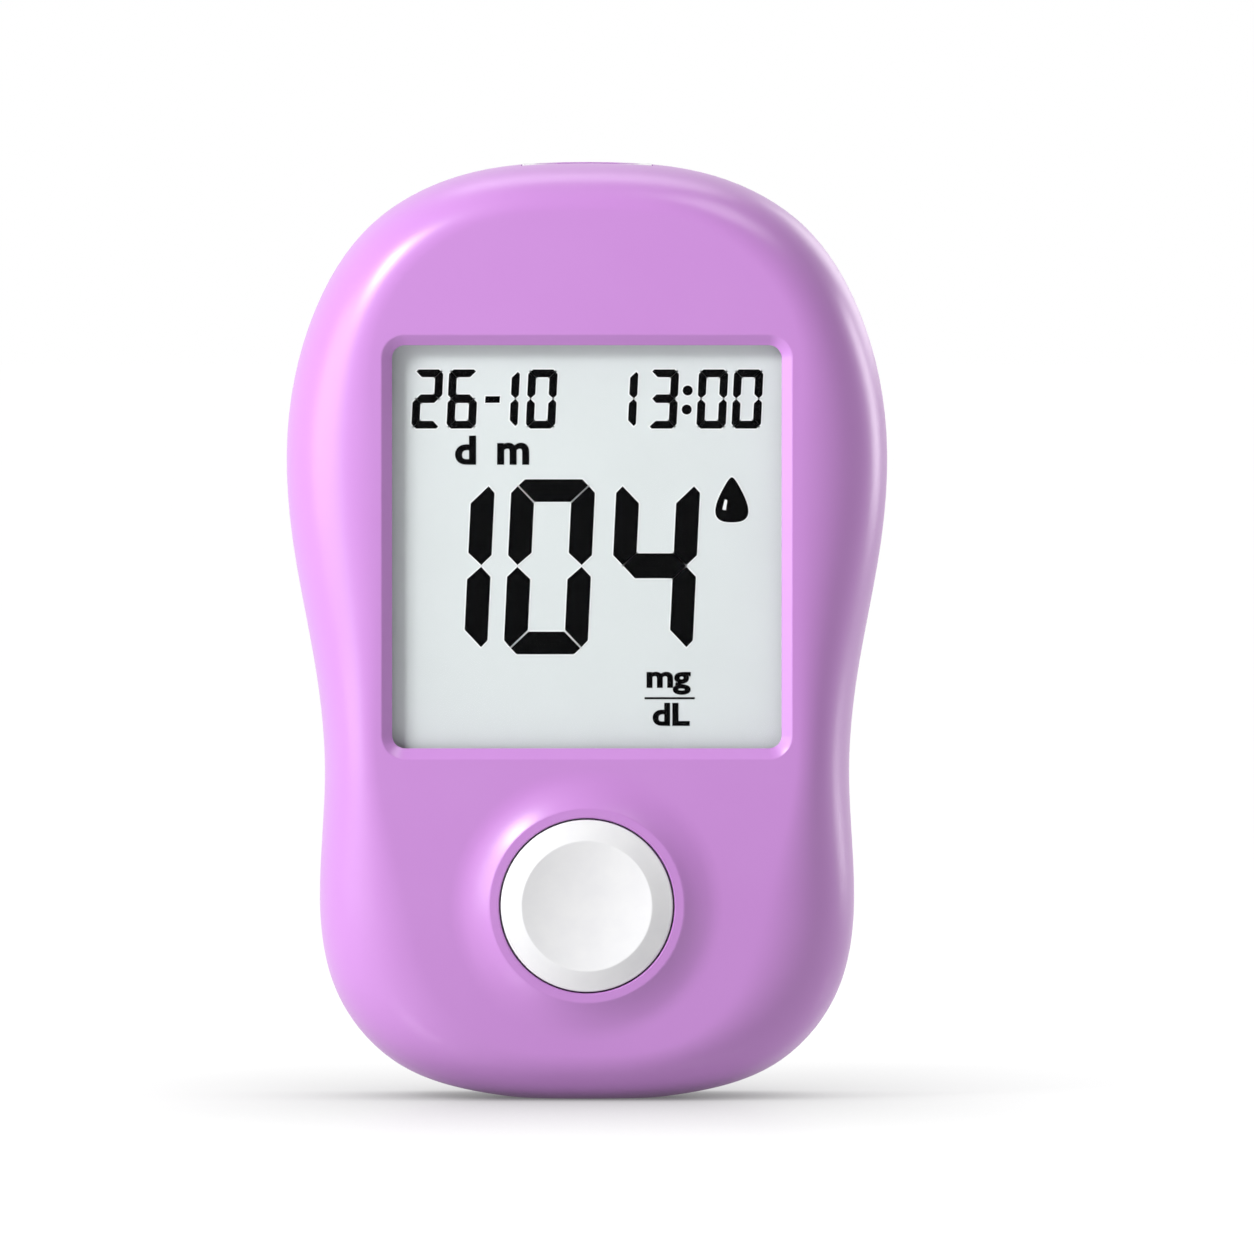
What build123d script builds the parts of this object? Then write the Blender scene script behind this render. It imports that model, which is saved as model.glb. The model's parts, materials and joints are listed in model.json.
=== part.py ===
from build123d import *
import math
import os

# Blood glucose meter: a two-shell hand-held case with a flush display window, one round push button,
# a strip port in the top end and a battery bay in the back. Millimetres.
# X runs across the case, Y from the front (-) to the back (+), Z up along the case, which stands on
# its small flat bottom end. Y = 0 is the parting plane of the two shells.

# ---------------------------------------------------------------- driving dimensions
# Case
body_width = 59.9
body_height = 93.5
front_depth = 9.8           # parting plane to the flat front face
wall = 1.8
base_sink = 0.35            # how far the outline's lowest point is cut off to make the flat to stand on
front_fullness = 2.1        # exponent of the rolled edge: 2 is an ellipse, more is squarer
rear_fullness = 2.6
rear_roll_share = 0.85      # the back's rolled edge is narrower than the front's
groove_width = 0.3          # shadow gap round the parting line
groove_depth = 0.3
lip_inset = 0.95            # from the outline; the lip is as thick as the rest of the wall
lip_height = 1.0
lip_root = 0.4              # how far the lip runs into the wall it stands on
lip_clearance = 0.1
least_roll = 0.5
seam_overlap = 1.0

# Half outline from the top centre to the bottom centre: share of the half width, share of the
# height, and how far the rolled edge reaches in from the outline there, as a share of the half
# width.
OUTLINE = [
    (0.000, 1.0000, 0.1603),
    (0.395, 0.9880, 0.1669),
    (0.721, 0.9330, 0.2003),
    (0.914, 0.8370, 0.2270),
    (0.998, 0.7190, 0.2938),
    (0.978, 0.5880, 0.2805),
    (0.908, 0.4650, 0.2137),
    (0.875, 0.3480, 0.1836),
    (0.892, 0.2300, 0.2805),
    (0.835, 0.1154, 0.3139),
    (0.634, 0.0400, 0.2671),
    (0.345, 0.0084, 0.1870),
    (0.000, 0.0000, 0.1669),
]
WAIST = 7                   # the narrowest place of the outline beside the window
ROLL_ANGLES = (0, 15, 30, 45, 60, 75, 90)

# Window and display
window_border = 0.25        # flat left between the frame and the rolled edge at the waist
window_top_margin = 18.1
window_bottom = 35.2
window_corner = 1.3
bevel_width = 1.05
bevel_depth = 0.9
bevel_edge_radius = 0.3
window_land = 0.3           # wall left between the frame's bevel and the lens's seat
lens_overlap = 1.6          # how far the lens reaches behind the opening's edge
lens_thickness = 0.8
lens_clearance = 0.1
tape_thickness = 0.15
tape_margin = 0.3           # the tape's inner edge stays behind the opening's edge
lcd_gap = 0.15
polariser_thickness = 0.15
polariser_margin = 0.4
glass_side_margin = 1.25    # glass beside the window opening
glass_thickness = 0.7
glass_top_margin = 1.6      # glass above the window opening
ledge_height = 3.5          # glass below the window opening; its lower part carries the contacts
contact_ledge = 2.6         # the rear glass is shorter by this, so the contacts are bare
reflector_thickness = 0.2
holder_wall = 1.1
holder_clearance = 0.2
holder_floor = 0.8
holder_peg_radius = 0.9
holder_peg_inset = 1.4
zebra_height = 3.25         # glass contacts to circuit board
zebra_width = 1.8
zebra_margin = 0.7

# Button
button_z = 19.6
button_radius = 8.58
button_clearance = 0.17
bore_chamfer = 0.12
button_bevel_rise = 0.7
button_dish_radius = 6.5
button_dish_depth = 0.85
button_edge_radius = 0.25
button_crest_radius = 0.3   # rounding where the dish meets the ring
button_proud = 0.1          # the button's side stands this far out of its collar
button_wall = 1.4
button_flange = 0.85        # how far the flange reaches behind the case wall
button_flange_thickness = 0.8
button_rest_gap = 0.1
button_post_radius = 2.4
button_ribs = 3
button_rib_thickness = 0.9
button_travel = 1.0
collar_rise = 1.4
collar_width = 1.0
collar_edge = 0.15          # reach of the rounding where the ring meets the flare
flare_width = 4.6
flare_sink = 0.03

# Silicone dome under the button
dome_pad = 15.0
dome_pad_thickness = 0.8
dome_radius = 5.5
dome_top_radius = 3.2
dome_top_thickness = 1.0
dome_wall = 0.6
dome_gap = 0.05
pill_radius = 2.1
pill_thickness = 0.4
pill_stop_gap = 0.2

# Circuit board
board_side_gap = 2.6        # the wall at the case's waist to the board
board_bottom = 8.0
board_top_margin = 7.5
board_corner = 9.0
board_thickness = 1.2
board_notch_gap = 0.5
board_hole_gap = 0.15

# Screws
case_screw_top_inset = (10.95, 11.5)
case_screw_door_gap = 4.3
case_screw_bottom_z = 10.5
case_screw_radius = 1.05
case_screw_head_radius = 2.0
case_screw_head_height = 1.5
case_screw_seat = 4.0       # head's seat behind the parting plane
case_screw_bite = 5.0
case_boss_wall = 1.5
case_well_wall = 1.0
head_clearance = 0.3
shank_clearance = 0.2
pilot_clearance = 0.03
pilot_end_gap = 0.5
board_screw_top_offset = (-6.5, 0.8)    # from the upper case screw
board_screw_bay_gap = 5.1
board_screw_button_gap = 7.9
board_screw_radius = 0.8
board_screw_head_radius = 1.5
board_screw_head_height = 0.9
board_screw_bite = 3.2
board_boss_radius = 2.2
screw_recess_depth = 0.7
screw_recess_width = 0.5

# Batteries and their bay
cell_radius = 5.25
cell_length = 44.5
cell_nub_radius = 1.9
cell_nub_length = 1.0
cell_gap = 0.7              # between the two cells
cell_clearance = 0.35
cell_edge_radius = 0.5
bay_bottom = 13.0
bay_wall = 1.2
bay_floor = 1.1
bay_floor_gap = 0.2         # bay floor above the circuit board
cell_floor_gap = 0.15
contact_thickness = 0.4
contact_height = 7.8
contact_width = 8.6
contact_tab = 2.0
contact_gap = 0.1
spring_length = 3.6
spring_wire = 0.5
spring_radius = 2.9
spring_top_radius = 2.0
spring_turns = 3

# Battery door
door_gap = 0.45             # between the cells and the door
door_thickness = 1.8
door_clearance = 0.2
door_corner = 2.3
door_edge = 0.3             # rounding of the door's outer edge, chamfer of its opening
door_rim = 2.0              # the door reaches this far past the bay on each side
door_below = 2.4            # and this far below the bay
door_above = 4.6            # and this far above it, where the latch is
seat_gap = 0.1
seat_thickness = 1.2
seat_reach = 1.6
hook_spread = 8.2
hook_width = 3.0
hook_thickness = 1.3
hook_length = 2.2
hook_gap = 0.3
hook_root = 1.4
hook_slot_gap = 0.4
hook_swing = 1.0            # room in front of the hooks for their swing
latch_width = 9.0
latch_length = 8.0
latch_slit = 0.7
latch_bead = 0.12
latch_bead_radius = 0.4
latch_grooves = 4
latch_groove_depth = 0.4
latch_groove_width = 0.6
latch_groove_pitch = 1.3
latch_groove_margin = 0.8
scoop_radius = 8.0
scoop_depth = 1.0

# Strip port and connector
strip_width = 8.0
strip_clearance = 0.4
port_width = 13.0
port_thickness = 4.6
port_recess = 0.2           # the port's face below the top of the case
port_notch_depth = 5.0
port_slot = 1.2
port_mouth_width = 10.6
port_mouth_thickness = 3.4
port_mouth_depth = 2.5
port_clearance = 0.1
port_flange = 1.2
port_flange_thickness = 1.2
port_flange_drop = 1.0
port_edge = 0.25
connector_width = 12.4
connector_thickness = 4.0
connector_length = 10.0
connector_slot = 0.9
connector_floor = 1.2
port_seat_gap = 0.2
contact_count = 5
contact_pitch = 1.6
spring_contact_width = 0.8
spring_contact_thickness = 0.2
spring_contact_tail = 1.2   # solder end below the connector
spring_contact_bow = 0.7    # free end's lift off the board
spring_contact_bend = 0.5
contact_groove_gap = 0.15

# Parts on the circuit board, in the strips beside the battery bay
part_gap = 0.3              # between the bay and the nearest lead
mcu_size = 7.0
mcu_height = 1.3
mcu_z = 46.0
mcu_leads_per_side = 7
lead_width = 0.35
lead_reach = 0.9
lead_thickness = 0.18
lead_pitch = 0.8
lead_lift = 0.15
analog_length = 5.0
analog_width = 4.0
analog_height = 1.4
analog_z = 59.0
analog_leads_per_side = 4
crystal_radius = 1.0
crystal_length = 6.0
crystal_z = 53.0
buzzer_radius = 4.4
buzzer_height = 3.0
buzzer_z = 46.0
buzzer_hole_radius = 0.8
buzzer_hole_depth = 2.0
chip_length = 1.6
chip_width = 0.8
chip_rows = 4               # of two chips each
chip_bay_gap = 2.6
chip_pitch = 2.8
capacitor_height = 0.8
capacitor_z = 53.4
resistor_height = 0.45
resistor_z = 15.4

# ---------------------------------------------------------------- derived sizes
waist_width = body_width * OUTLINE[WAIST][0]
waist_flat = waist_width - body_width * OUTLINE[WAIST][2]
window_width = waist_flat - 2 * (window_border + bevel_width)
window_height = body_height - window_top_margin - window_bottom
window_z = window_bottom + window_height / 2
glass_width = window_width + 2 * glass_side_margin
board_width = waist_width - 2 * (wall + board_side_gap)
board_top = body_height - board_top_margin

# ---------------------------------------------------------------- derived places along Y
face_y = -front_depth
inner_y = face_y + wall
lens_seat_y = face_y + bevel_depth + window_land
lens_front = lens_seat_y + tape_thickness
lens_back = lens_front + lens_thickness
polariser_front = lens_back + lcd_gap
glass_front = polariser_front + polariser_thickness
glass_middle = glass_front + glass_thickness
glass_back = glass_middle + glass_thickness
reflector_back = glass_back + reflector_thickness
board_front = glass_middle + zebra_height
board_back = board_front + board_thickness
bay_floor_front = board_back + bay_floor_gap
bay_floor_back = bay_floor_front + bay_floor
cell_y = bay_floor_back + cell_floor_gap + cell_radius
door_inner = cell_y + cell_radius + door_gap
rear_depth = door_inner + door_thickness
rear_inner = rear_depth - wall
slot_y = board_back + connector_thickness / 2 + port_clearance * 2
collar_y = face_y - collar_rise
seat_front = rear_inner - seat_gap - seat_thickness
holder_front = lens_back + tape_thickness / 3

# ---------------------------------------------------------------- derived places across and up
cell_x = cell_radius + cell_gap / 2
bay_half_width = cell_x + cell_radius + cell_clearance
tub_half_width = bay_half_width + bay_wall
bay_length = 2 * contact_thickness + spring_length + cell_length + contact_gap
bay_top = bay_bottom + bay_length
door_bottom = bay_bottom - door_below
door_top = bay_top + door_above
door_half_width = bay_half_width + door_rim
glass_bottom = window_z - window_height / 2 - ledge_height
glass_top = window_z + window_height / 2 + glass_top_margin
glass_z = (glass_bottom + glass_top) / 2
glass_height = glass_top - glass_bottom
port_top = body_height - port_recess
connector_top = board_top
bore_radius = button_radius + button_clearance
collar_radius = bore_radius + collar_width
flange_radius = bore_radius + button_flange
strip_x = tub_half_width + part_gap     # where the strips beside the bay begin
upper_screw = (body_width / 2 - case_screw_top_inset[0], body_height - case_screw_top_inset[1])
lower_screw = (door_half_width + case_screw_door_gap, case_screw_bottom_z)
case_screw_places = (upper_screw, lower_screw)
board_screw_places = (
    (upper_screw[0] + board_screw_top_offset[0], upper_screw[1] + board_screw_top_offset[1]),
    (tub_half_width + board_screw_bay_gap, button_z + board_screw_button_gap),
)
lead_span = 2 * lead_reach
mcu_place = (-(strip_x + (mcu_size + lead_span) / 2), mcu_z)
analog_place = (strip_x + (analog_width + lead_span) / 2, analog_z)
crystal_place = (strip_x + crystal_length / 2, crystal_z)
buzzer_place = (strip_x + buzzer_radius, buzzer_z)
chip_columns = (strip_x + chip_bay_gap, strip_x + chip_bay_gap + chip_pitch)
case_boss_radius = case_screw_radius + case_boss_wall
case_well_radius = case_screw_head_radius + head_clearance + case_well_wall


# ---------------------------------------------------------------- helpers
def slab(sketch, y_from, y_to):
    """A sketch drawn across X and Z, extruded from one depth to another."""
    return extrude(Plane.XZ.offset(-y_to) * sketch, amount=y_to - y_from)


def block(x, y, z):
    """A box between two corners given as (low, high) pairs."""
    size = Box(x[1] - x[0], y[1] - y[0], z[1] - z[0])
    return Pos((x[0] + x[1]) / 2, (y[0] + y[1]) / 2, (z[0] + z[1]) / 2) * size


def peg(x, z, radius, y_from, y_to):
    """A cylinder that runs front to back."""
    return slab(Pos(x, z) * Circle(radius), y_from, y_to)


def plate(width, height, z, corner, y_from, y_to):
    """A rounded rectangular plate centred on X = 0."""
    return slab(Pos(0, z) * RectangleRounded(width, height, corner), y_from, y_to)


def turned(points, z):
    """A solid of revolution about a front-to-back axis at height z, from (radius, y) points."""
    profile = make_face(Polyline(*points, close=True))
    return revolve(Plane.XY.offset(z) * profile, Axis((0, 0, z), (0, 1, 0)))


def both_sides(places):
    """The places and their mirror images in X = 0."""
    return [(side * x, z) for x, z in places for side in (-1, 1)]


def cross_recess(x, z, y_open, depth, length):
    """A cross-head driver recess that opens towards the back."""
    depth_range = (y_open - depth, y_open + depth)
    half = screw_recess_width / 2
    upright = block((x - half, x + half), depth_range, (z - length, z + length))
    level = block((x - length, x + length), depth_range, (z - half, z + half))
    return upright + level


# ---------------------------------------------------------------- case form
# The shells are modelled as right halves that run a little past the middle plane, then trimmed
# there and mirrored.
def stations():
    """Outline points as (x, z, roll), with the outward normal (nx, nz) at each."""
    points = []
    for x_share, z_share, roll in OUTLINE:
        height = z_share * (body_height + base_sink) - base_sink
        half_width = body_width / 2
        points.append((x_share * half_width, height, roll * half_width))
    before = [(-points[1][0], points[1][1])] + points[:-1]
    after = points[1:] + [(-points[-2][0], points[-2][1])]
    result = []
    for a, b, c in zip(before, points, after):
        into = Vector(b[0] - a[0], b[1] - a[1])
        out = Vector(c[0] - b[0], c[1] - b[1])
        tangent = (into / into.length**2 + out / out.length**2).normalized()
        result.append((b, (-tangent.Y, tangent.X)))
    return result


def outline_wire(inset, y, roll_share=0.0, roll_scale=1.0):
    """Right half of the outline at depth y, moved in by inset and towards the flat face."""
    points = []
    for (x, z, roll), (nx, nz) in stations():
        reach = inset + max(roll * roll_scale - inset, least_roll) * roll_share
        points.append((x - nx * reach, y, z - nz * reach))
    curve = Spline(*points, tangents=[(1, 0, 0), (-1, 0, 0)], tangent_scalars=[1, 1])
    past = -seam_overlap - inset
    top, bottom = points[0], points[-1]
    rest = Polyline(bottom, (past, y, bottom[2]), (past, y, top[2]), top)
    return Wire(curve.edges() + rest.edges())


def case_form(y_from, y_to, inset, fullness, roll_scale):
    """Half of the pebble form, from its full outline at one depth to a flat face at another."""
    sections = []
    for angle in ROLL_ANGLES:
        turn = math.radians(angle)
        share = 1 - math.cos(turn) ** (2 / fullness) if angle < 90 else 1.0
        y = y_from + (y_to - y_from) * math.sin(turn) ** (2 / fullness)
        sections.append(outline_wire(inset, y, share, roll_scale))
    return Solid.make_loft(sections)


def outline_slab(inset, y_from, y_to):
    """The half outline, moved in by inset, as a straight-sided slab."""
    face = Face(outline_wire(inset, y_from))
    return Solid.extrude(face, Vector(0, y_to - y_from, 0))


def trimmed_and_mirrored(half):
    """A whole shell from its right half, cut flat where it stands."""
    reach = body_width + body_height
    beyond = block((-reach, 0), (-reach, reach), (-reach, reach))
    below = block((-reach, reach), (-reach, reach), (-reach, 0))
    half = half - [beyond, below]
    return half + half.mirror(Plane.YZ)


def port_notch():
    """The gap in both shells that the strip port fills."""
    half_x = port_width / 2 + port_clearance
    half_y = port_thickness / 2 + port_clearance
    return block(
        (-half_x, half_x),
        (slot_y - half_y, slot_y + half_y),
        (port_top - port_notch_depth, body_height + wall),
    )


# ---------------------------------------------------------------- front cover
def window_cut():
    """The window opening: a bevelled frame, then a straight land."""
    above = bevel_edge_radius
    outer = bevel_width * (1 + above / bevel_depth)
    wide = RectangleRounded(
        window_width + 2 * outer, window_height + 2 * outer, window_corner + outer
    )
    narrow = RectangleRounded(window_width, window_height, window_corner)
    bevel_y = face_y + bevel_depth
    taper = loft(
        [
            Plane.XZ.offset(-(face_y - above)) * Pos(0, window_z) * wide,
            Plane.XZ.offset(-bevel_y) * Pos(0, window_z) * narrow,
        ]
    )
    return taper + slab(Pos(0, window_z) * narrow, bevel_y, inner_y + wall)


def collar():
    """The raised ring round the button, flaring into the front face."""
    run = flare_width
    rise = collar_rise
    radius = (run**2 + rise**2) / (2 * rise)
    foot = (collar_radius + run, face_y + flare_sink)
    turn = math.asin(min(run / radius, 1.0)) - collar_edge / radius
    crest = (foot[0] - radius * math.sin(turn), foot[1] - radius * (1 - math.cos(turn)))
    middle = (
        foot[0] - radius * math.sin(turn / 2),
        foot[1] - radius * (1 - math.cos(turn / 2)),
    )
    rim = (collar_radius - collar_edge, collar_y)
    corner = (crest[0] - (crest[1] - collar_y) / math.tan(turn), collar_y)
    edge = [
        ThreePointArc(foot, middle, crest),
        Bezier(crest, corner, rim),
        Line(rim, (button_radius, collar_y)),
        Line((button_radius, collar_y), (button_radius, inner_y - wall / 3)),
        Line((button_radius, inner_y - wall / 3), (foot[0], inner_y - wall / 3)),
        Line((foot[0], inner_y - wall / 3), foot),
    ]
    axis = Axis((0, 0, button_z), (0, 1, 0))
    return revolve(Plane.XY.offset(button_z) * make_face(edge), axis)


def front_shell():
    """Right half of the front shell: wall, lip, bosses and the room for what it holds."""
    groove_top = -groove_width
    shell = case_form(groove_top, face_y, 0, front_fullness, 1.0)
    shell += outline_slab(groove_depth, groove_top - lip_root, 0)
    shell += outline_slab(lip_inset, -lip_root, lip_height)
    shell -= case_form(lip_height + lip_root, inner_y, wall, front_fullness, 1.0)
    mid_wall = case_form(groove_top, face_y + wall / 2, wall / 2, front_fullness, 1.0)
    posts = []
    for x, z in case_screw_places:
        posts.append(peg(x, z, case_boss_radius, inner_y - wall / 3, groove_top) & mid_wall)
        posts.append(peg(x, z, case_boss_radius, groove_top - lip_root, 0))
    for x, z in board_screw_places:
        posts.append(peg(x, z, board_boss_radius, inner_y - wall / 3, board_front))
    shell += posts
    lens_seat = 2 * (lens_overlap + lens_clearance)
    holder_room = 2 * (holder_clearance + holder_wall + holder_clearance)
    cuts = [
        plate(
            window_width + lens_seat,
            window_height + lens_seat,
            window_z,
            window_corner,
            lens_seat_y,
            lens_back,
        ),
        plate(
            glass_width + holder_room,
            glass_height + holder_room,
            glass_z,
            window_corner,
            lens_back - lens_clearance,
            board_front,
        ),
    ]
    for x, z in case_screw_places:
        pilot = case_screw_radius + pilot_clearance
        cuts.append(peg(x, z, pilot, -case_screw_bite - pilot_end_gap, lip_height))
    for x, z in board_screw_places:
        pilot = board_screw_radius + pilot_clearance
        depth = board_screw_bite + pilot_end_gap
        cuts.append(peg(x, z, pilot, board_front - depth, 0))
    shell -= cuts + [port_notch()]
    return shell


def front_cover():
    """Front shell with window frame, button collar, screw bosses and locating lip."""
    cover = trimmed_and_mirrored(front_shell()) + collar()
    bore = turned(
        [
            (0, collar_y - wall),
            (bore_radius + wall + bore_chamfer, collar_y - wall),
            (bore_radius, collar_y + bore_chamfer),
            (bore_radius, inner_y + wall),
            (0, inner_y + wall),
        ],
        button_z,
    )
    cover -= [window_cut(), bore]
    front = [f for f in cover.faces().filter_by(Plane.XZ) if abs(f.center().Y - face_y) < 0.01]
    frame = front[0].inner_wires().sort_by(Axis.Z)[-1]
    return fillet(frame.edges(), bevel_edge_radius)


# ---------------------------------------------------------------- rear cover and battery bay
def bay_room():
    """The space inside the battery bay, open towards the back."""
    return block(
        (-bay_half_width, bay_half_width),
        (bay_floor_back, rear_depth + wall),
        (bay_bottom, bay_top),
    )


def door_outline(gap):
    """The battery door's rounded outline, grown by a gap."""
    height = door_top - door_bottom + 2 * gap
    middle = (door_top + door_bottom) / 2
    shape = RectangleRounded(2 * (door_half_width + gap), height, door_corner + gap)
    return Pos(0, middle) * shape


def door_recess():
    """The opening the door lies in, with a chamfered edge."""
    gap = door_clearance
    flare = gap + 2 * door_edge
    lead_in = loft(
        [
            Plane.XZ.offset(-(rear_depth - door_edge)) * door_outline(gap),
            Plane.XZ.offset(-(rear_depth + door_edge)) * door_outline(flare),
        ]
    )
    return slab(door_outline(gap), rear_inner - seat_gap, rear_depth + 1) + lead_in


def scoop():
    """The thumb scoop above the latch."""
    return Pos(0, rear_depth + scoop_radius - scoop_depth, door_top + 1) * Sphere(scoop_radius)


def hook_slot(side):
    """Room for one of the door's hooks, at rest and as the door swings."""
    half = hook_width / 2 + hook_slot_gap
    x = side * hook_spread
    return block(
        (x - half, x + half),
        (rear_inner - hook_gap - hook_thickness - hook_swing, rear_inner),
        (door_bottom - hook_length - hook_slot_gap, bay_bottom + 0.1),
    )


def contact_slit(x):
    """The slit in the bay floor that a contact's solder tab passes through."""
    half = contact_tab / 2 + contact_groove_gap
    return block(
        (x - half, x + half),
        (bay_floor_front - 1, bay_floor_back + 1),
        (bay_top - contact_thickness - contact_groove_gap, bay_top),
    )


def rear_shell():
    """Right half of the back shell: wall, screw wells, bay walls and the door's seat."""
    skin = case_form(0, rear_depth, 0, rear_fullness, rear_roll_share)
    shell = skin - case_form(0, rear_inner, wall, rear_fullness, rear_roll_share)
    shell -= outline_slab(lip_inset - lip_clearance, -1, lip_height + lip_clearance)
    wells = []
    for x, z in case_screw_places:
        wells.append(peg(x, z, case_well_radius, lip_clearance, rear_depth) & skin)
    tub_z = (bay_bottom - bay_wall, bay_top + bay_wall)
    tub = block((0, tub_half_width), (bay_floor_front, rear_inner + seat_gap), tub_z)
    seat_half = door_half_width + seat_reach
    seat_z = (door_bottom - seat_reach, door_top + seat_reach)
    seat = block((0, seat_half), (seat_front, rear_inner + seat_gap), seat_z)
    shell += wells + [tub, seat]
    latch_half = latch_width / 2 + latch_slit
    latch_room = block(
        (-latch_half, latch_half),
        (seat_front - seat_gap, rear_inner),
        (bay_top + bay_wall, door_top + door_clearance),
    )
    shell -= [door_recess(), bay_room(), latch_room, hook_slot(1), contact_slit(cell_x)]
    shell -= port_notch()
    cuts = []
    for x, z in case_screw_places:
        shank = case_screw_radius + shank_clearance
        head = case_screw_head_radius + head_clearance
        cuts.append(peg(x, z, shank, -1, rear_depth))
        cuts.append(peg(x, z, head, case_screw_seat, rear_depth + 1))
    return shell - cuts


def rear_cover():
    """Back shell with the battery bay, the door's seat and the screw wells."""
    return trimmed_and_mirrored(rear_shell()) - scoop()


def battery_door():
    """Flush door: two hooks at its bottom edge and a sprung latch tongue at its top edge."""
    door = slab(door_outline(0), door_inner, rear_depth)
    door = fillet(door.faces().sort_by(Axis.Y)[-1].edges(), door_edge)
    foot_back = rear_inner - hook_gap
    foot_front = foot_back - hook_thickness
    for side in (-1, 1):
        x = side * hook_spread
        span = (x - hook_width / 2, x + hook_width / 2)
        root = (door_bottom, door_bottom + hook_root)
        door += block(span, (foot_front, door_inner), root)
        foot = (door_bottom - hook_length, door_bottom + hook_root)
        door += block(span, (foot_front, foot_back), foot)
        slit = side * (latch_width / 2 + latch_slit / 2)
        door -= block(
            (slit - latch_slit / 2, slit + latch_slit / 2),
            (door_inner - 1, rear_depth + 1),
            (door_top - latch_length, door_top + 1),
        )
    bead = Rot(0, 90, 0) * Cylinder(latch_bead_radius, latch_width - 1)
    bead_z = door_top - latch_bead_radius + latch_bead
    door += Pos(0, (door_inner + rear_depth) / 2, bead_z) * bead
    door -= scoop()
    for n in range(latch_grooves):
        z = door_top - latch_length + latch_groove_margin + n * latch_groove_pitch
        door -= block(
            (-latch_width / 2 + latch_groove_margin, latch_width / 2 - latch_groove_margin),
            (rear_depth - latch_groove_depth, rear_depth + 1),
            (z, z + latch_groove_width),
        )
    return door


# ---------------------------------------------------------------- display
def display_window():
    """Clear lens behind the window opening."""
    grow = 2 * lens_overlap
    corner = window_corner - lens_clearance
    return plate(
        window_width + grow, window_height + grow, window_z, corner, lens_front, lens_back
    )


def window_tape():
    """Frame of double-sided tape between lens and case."""
    grow = 2 * lens_overlap
    hole = 2 * tape_margin
    corner = window_corner - lens_clearance
    ring = plate(
        window_width + grow, window_height + grow, window_z, corner, lens_seat_y, lens_front
    )
    return ring - plate(
        window_width + hole, window_height + hole, window_z, corner, face_y, lens_back
    )


def glass_sheet(bottom, top, margin, y_from, y_to):
    """A flat sheet of the display stack."""
    half = glass_width / 2 - margin
    return block((-half, half), (y_from, y_to), (bottom + margin, top - margin))


def lcd_polariser():
    """Front polariser film."""
    return glass_sheet(glass_bottom, glass_top, polariser_margin, polariser_front, glass_front)


def lcd_front_glass():
    """Front glass; its bare lower edge carries the contacts."""
    return glass_sheet(glass_bottom, glass_top, 0, glass_front, glass_middle)


def lcd_rear_glass():
    """Rear glass, shorter at the bottom."""
    return glass_sheet(glass_bottom + contact_ledge, glass_top, 0, glass_middle, glass_back)


def lcd_reflector():
    """Reflecting rear film."""
    bottom = glass_bottom + contact_ledge
    return glass_sheet(bottom, glass_top, polariser_margin, glass_back, reflector_back)


def zebra_place():
    """Lowest and highest edge of the elastomer strip."""
    middle = glass_bottom + contact_ledge / 2
    return (middle - zebra_width / 2, middle + zebra_width / 2)


def holder_peg_places():
    """Where the display holder's pegs go through the circuit board."""
    x = glass_width / 2 - holder_peg_inset
    low = glass_bottom + contact_ledge + holder_peg_inset * 2
    high = glass_top - holder_peg_inset
    return both_sides([(x, low), (x, high)])


def lcd_holder():
    """Frame that carries the glass over the circuit board."""
    inner = 2 * holder_clearance
    outer = 2 * (holder_clearance + holder_wall)
    frame = plate(
        glass_width + outer,
        glass_height + outer,
        glass_z,
        window_corner,
        holder_front,
        board_front,
    )
    room = block(
        (-glass_width / 2 - inner / 2, glass_width / 2 + inner / 2),
        (holder_front - 1, reflector_back + holder_clearance / 4),
        (glass_bottom - inner / 2, glass_top + inner / 2),
    )
    floor_back = reflector_back + holder_clearance / 4 + holder_floor
    under = block(
        (-glass_width / 2 - inner / 2, glass_width / 2 + inner / 2),
        (floor_back, board_front + 1),
        (glass_bottom - inner / 2, glass_top + inner / 2),
    )
    low, high = zebra_place()
    slot_half = glass_width / 2 - zebra_margin + holder_clearance / 2
    slot = block(
        (-slot_half, slot_half),
        (holder_front, board_front),
        (low - holder_clearance / 2, high + holder_clearance / 2),
    )
    holder = frame - room - under - slot
    for x, z in holder_peg_places():
        holder += peg(x, z, holder_peg_radius, floor_back - holder_floor / 2, board_back + 0.6)
    return holder


def zebra_connector():
    """Elastomer strip that joins the glass contacts to the board."""
    half = glass_width / 2 - zebra_margin
    return block((-half, half), (glass_middle, board_front), zebra_place())


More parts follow.
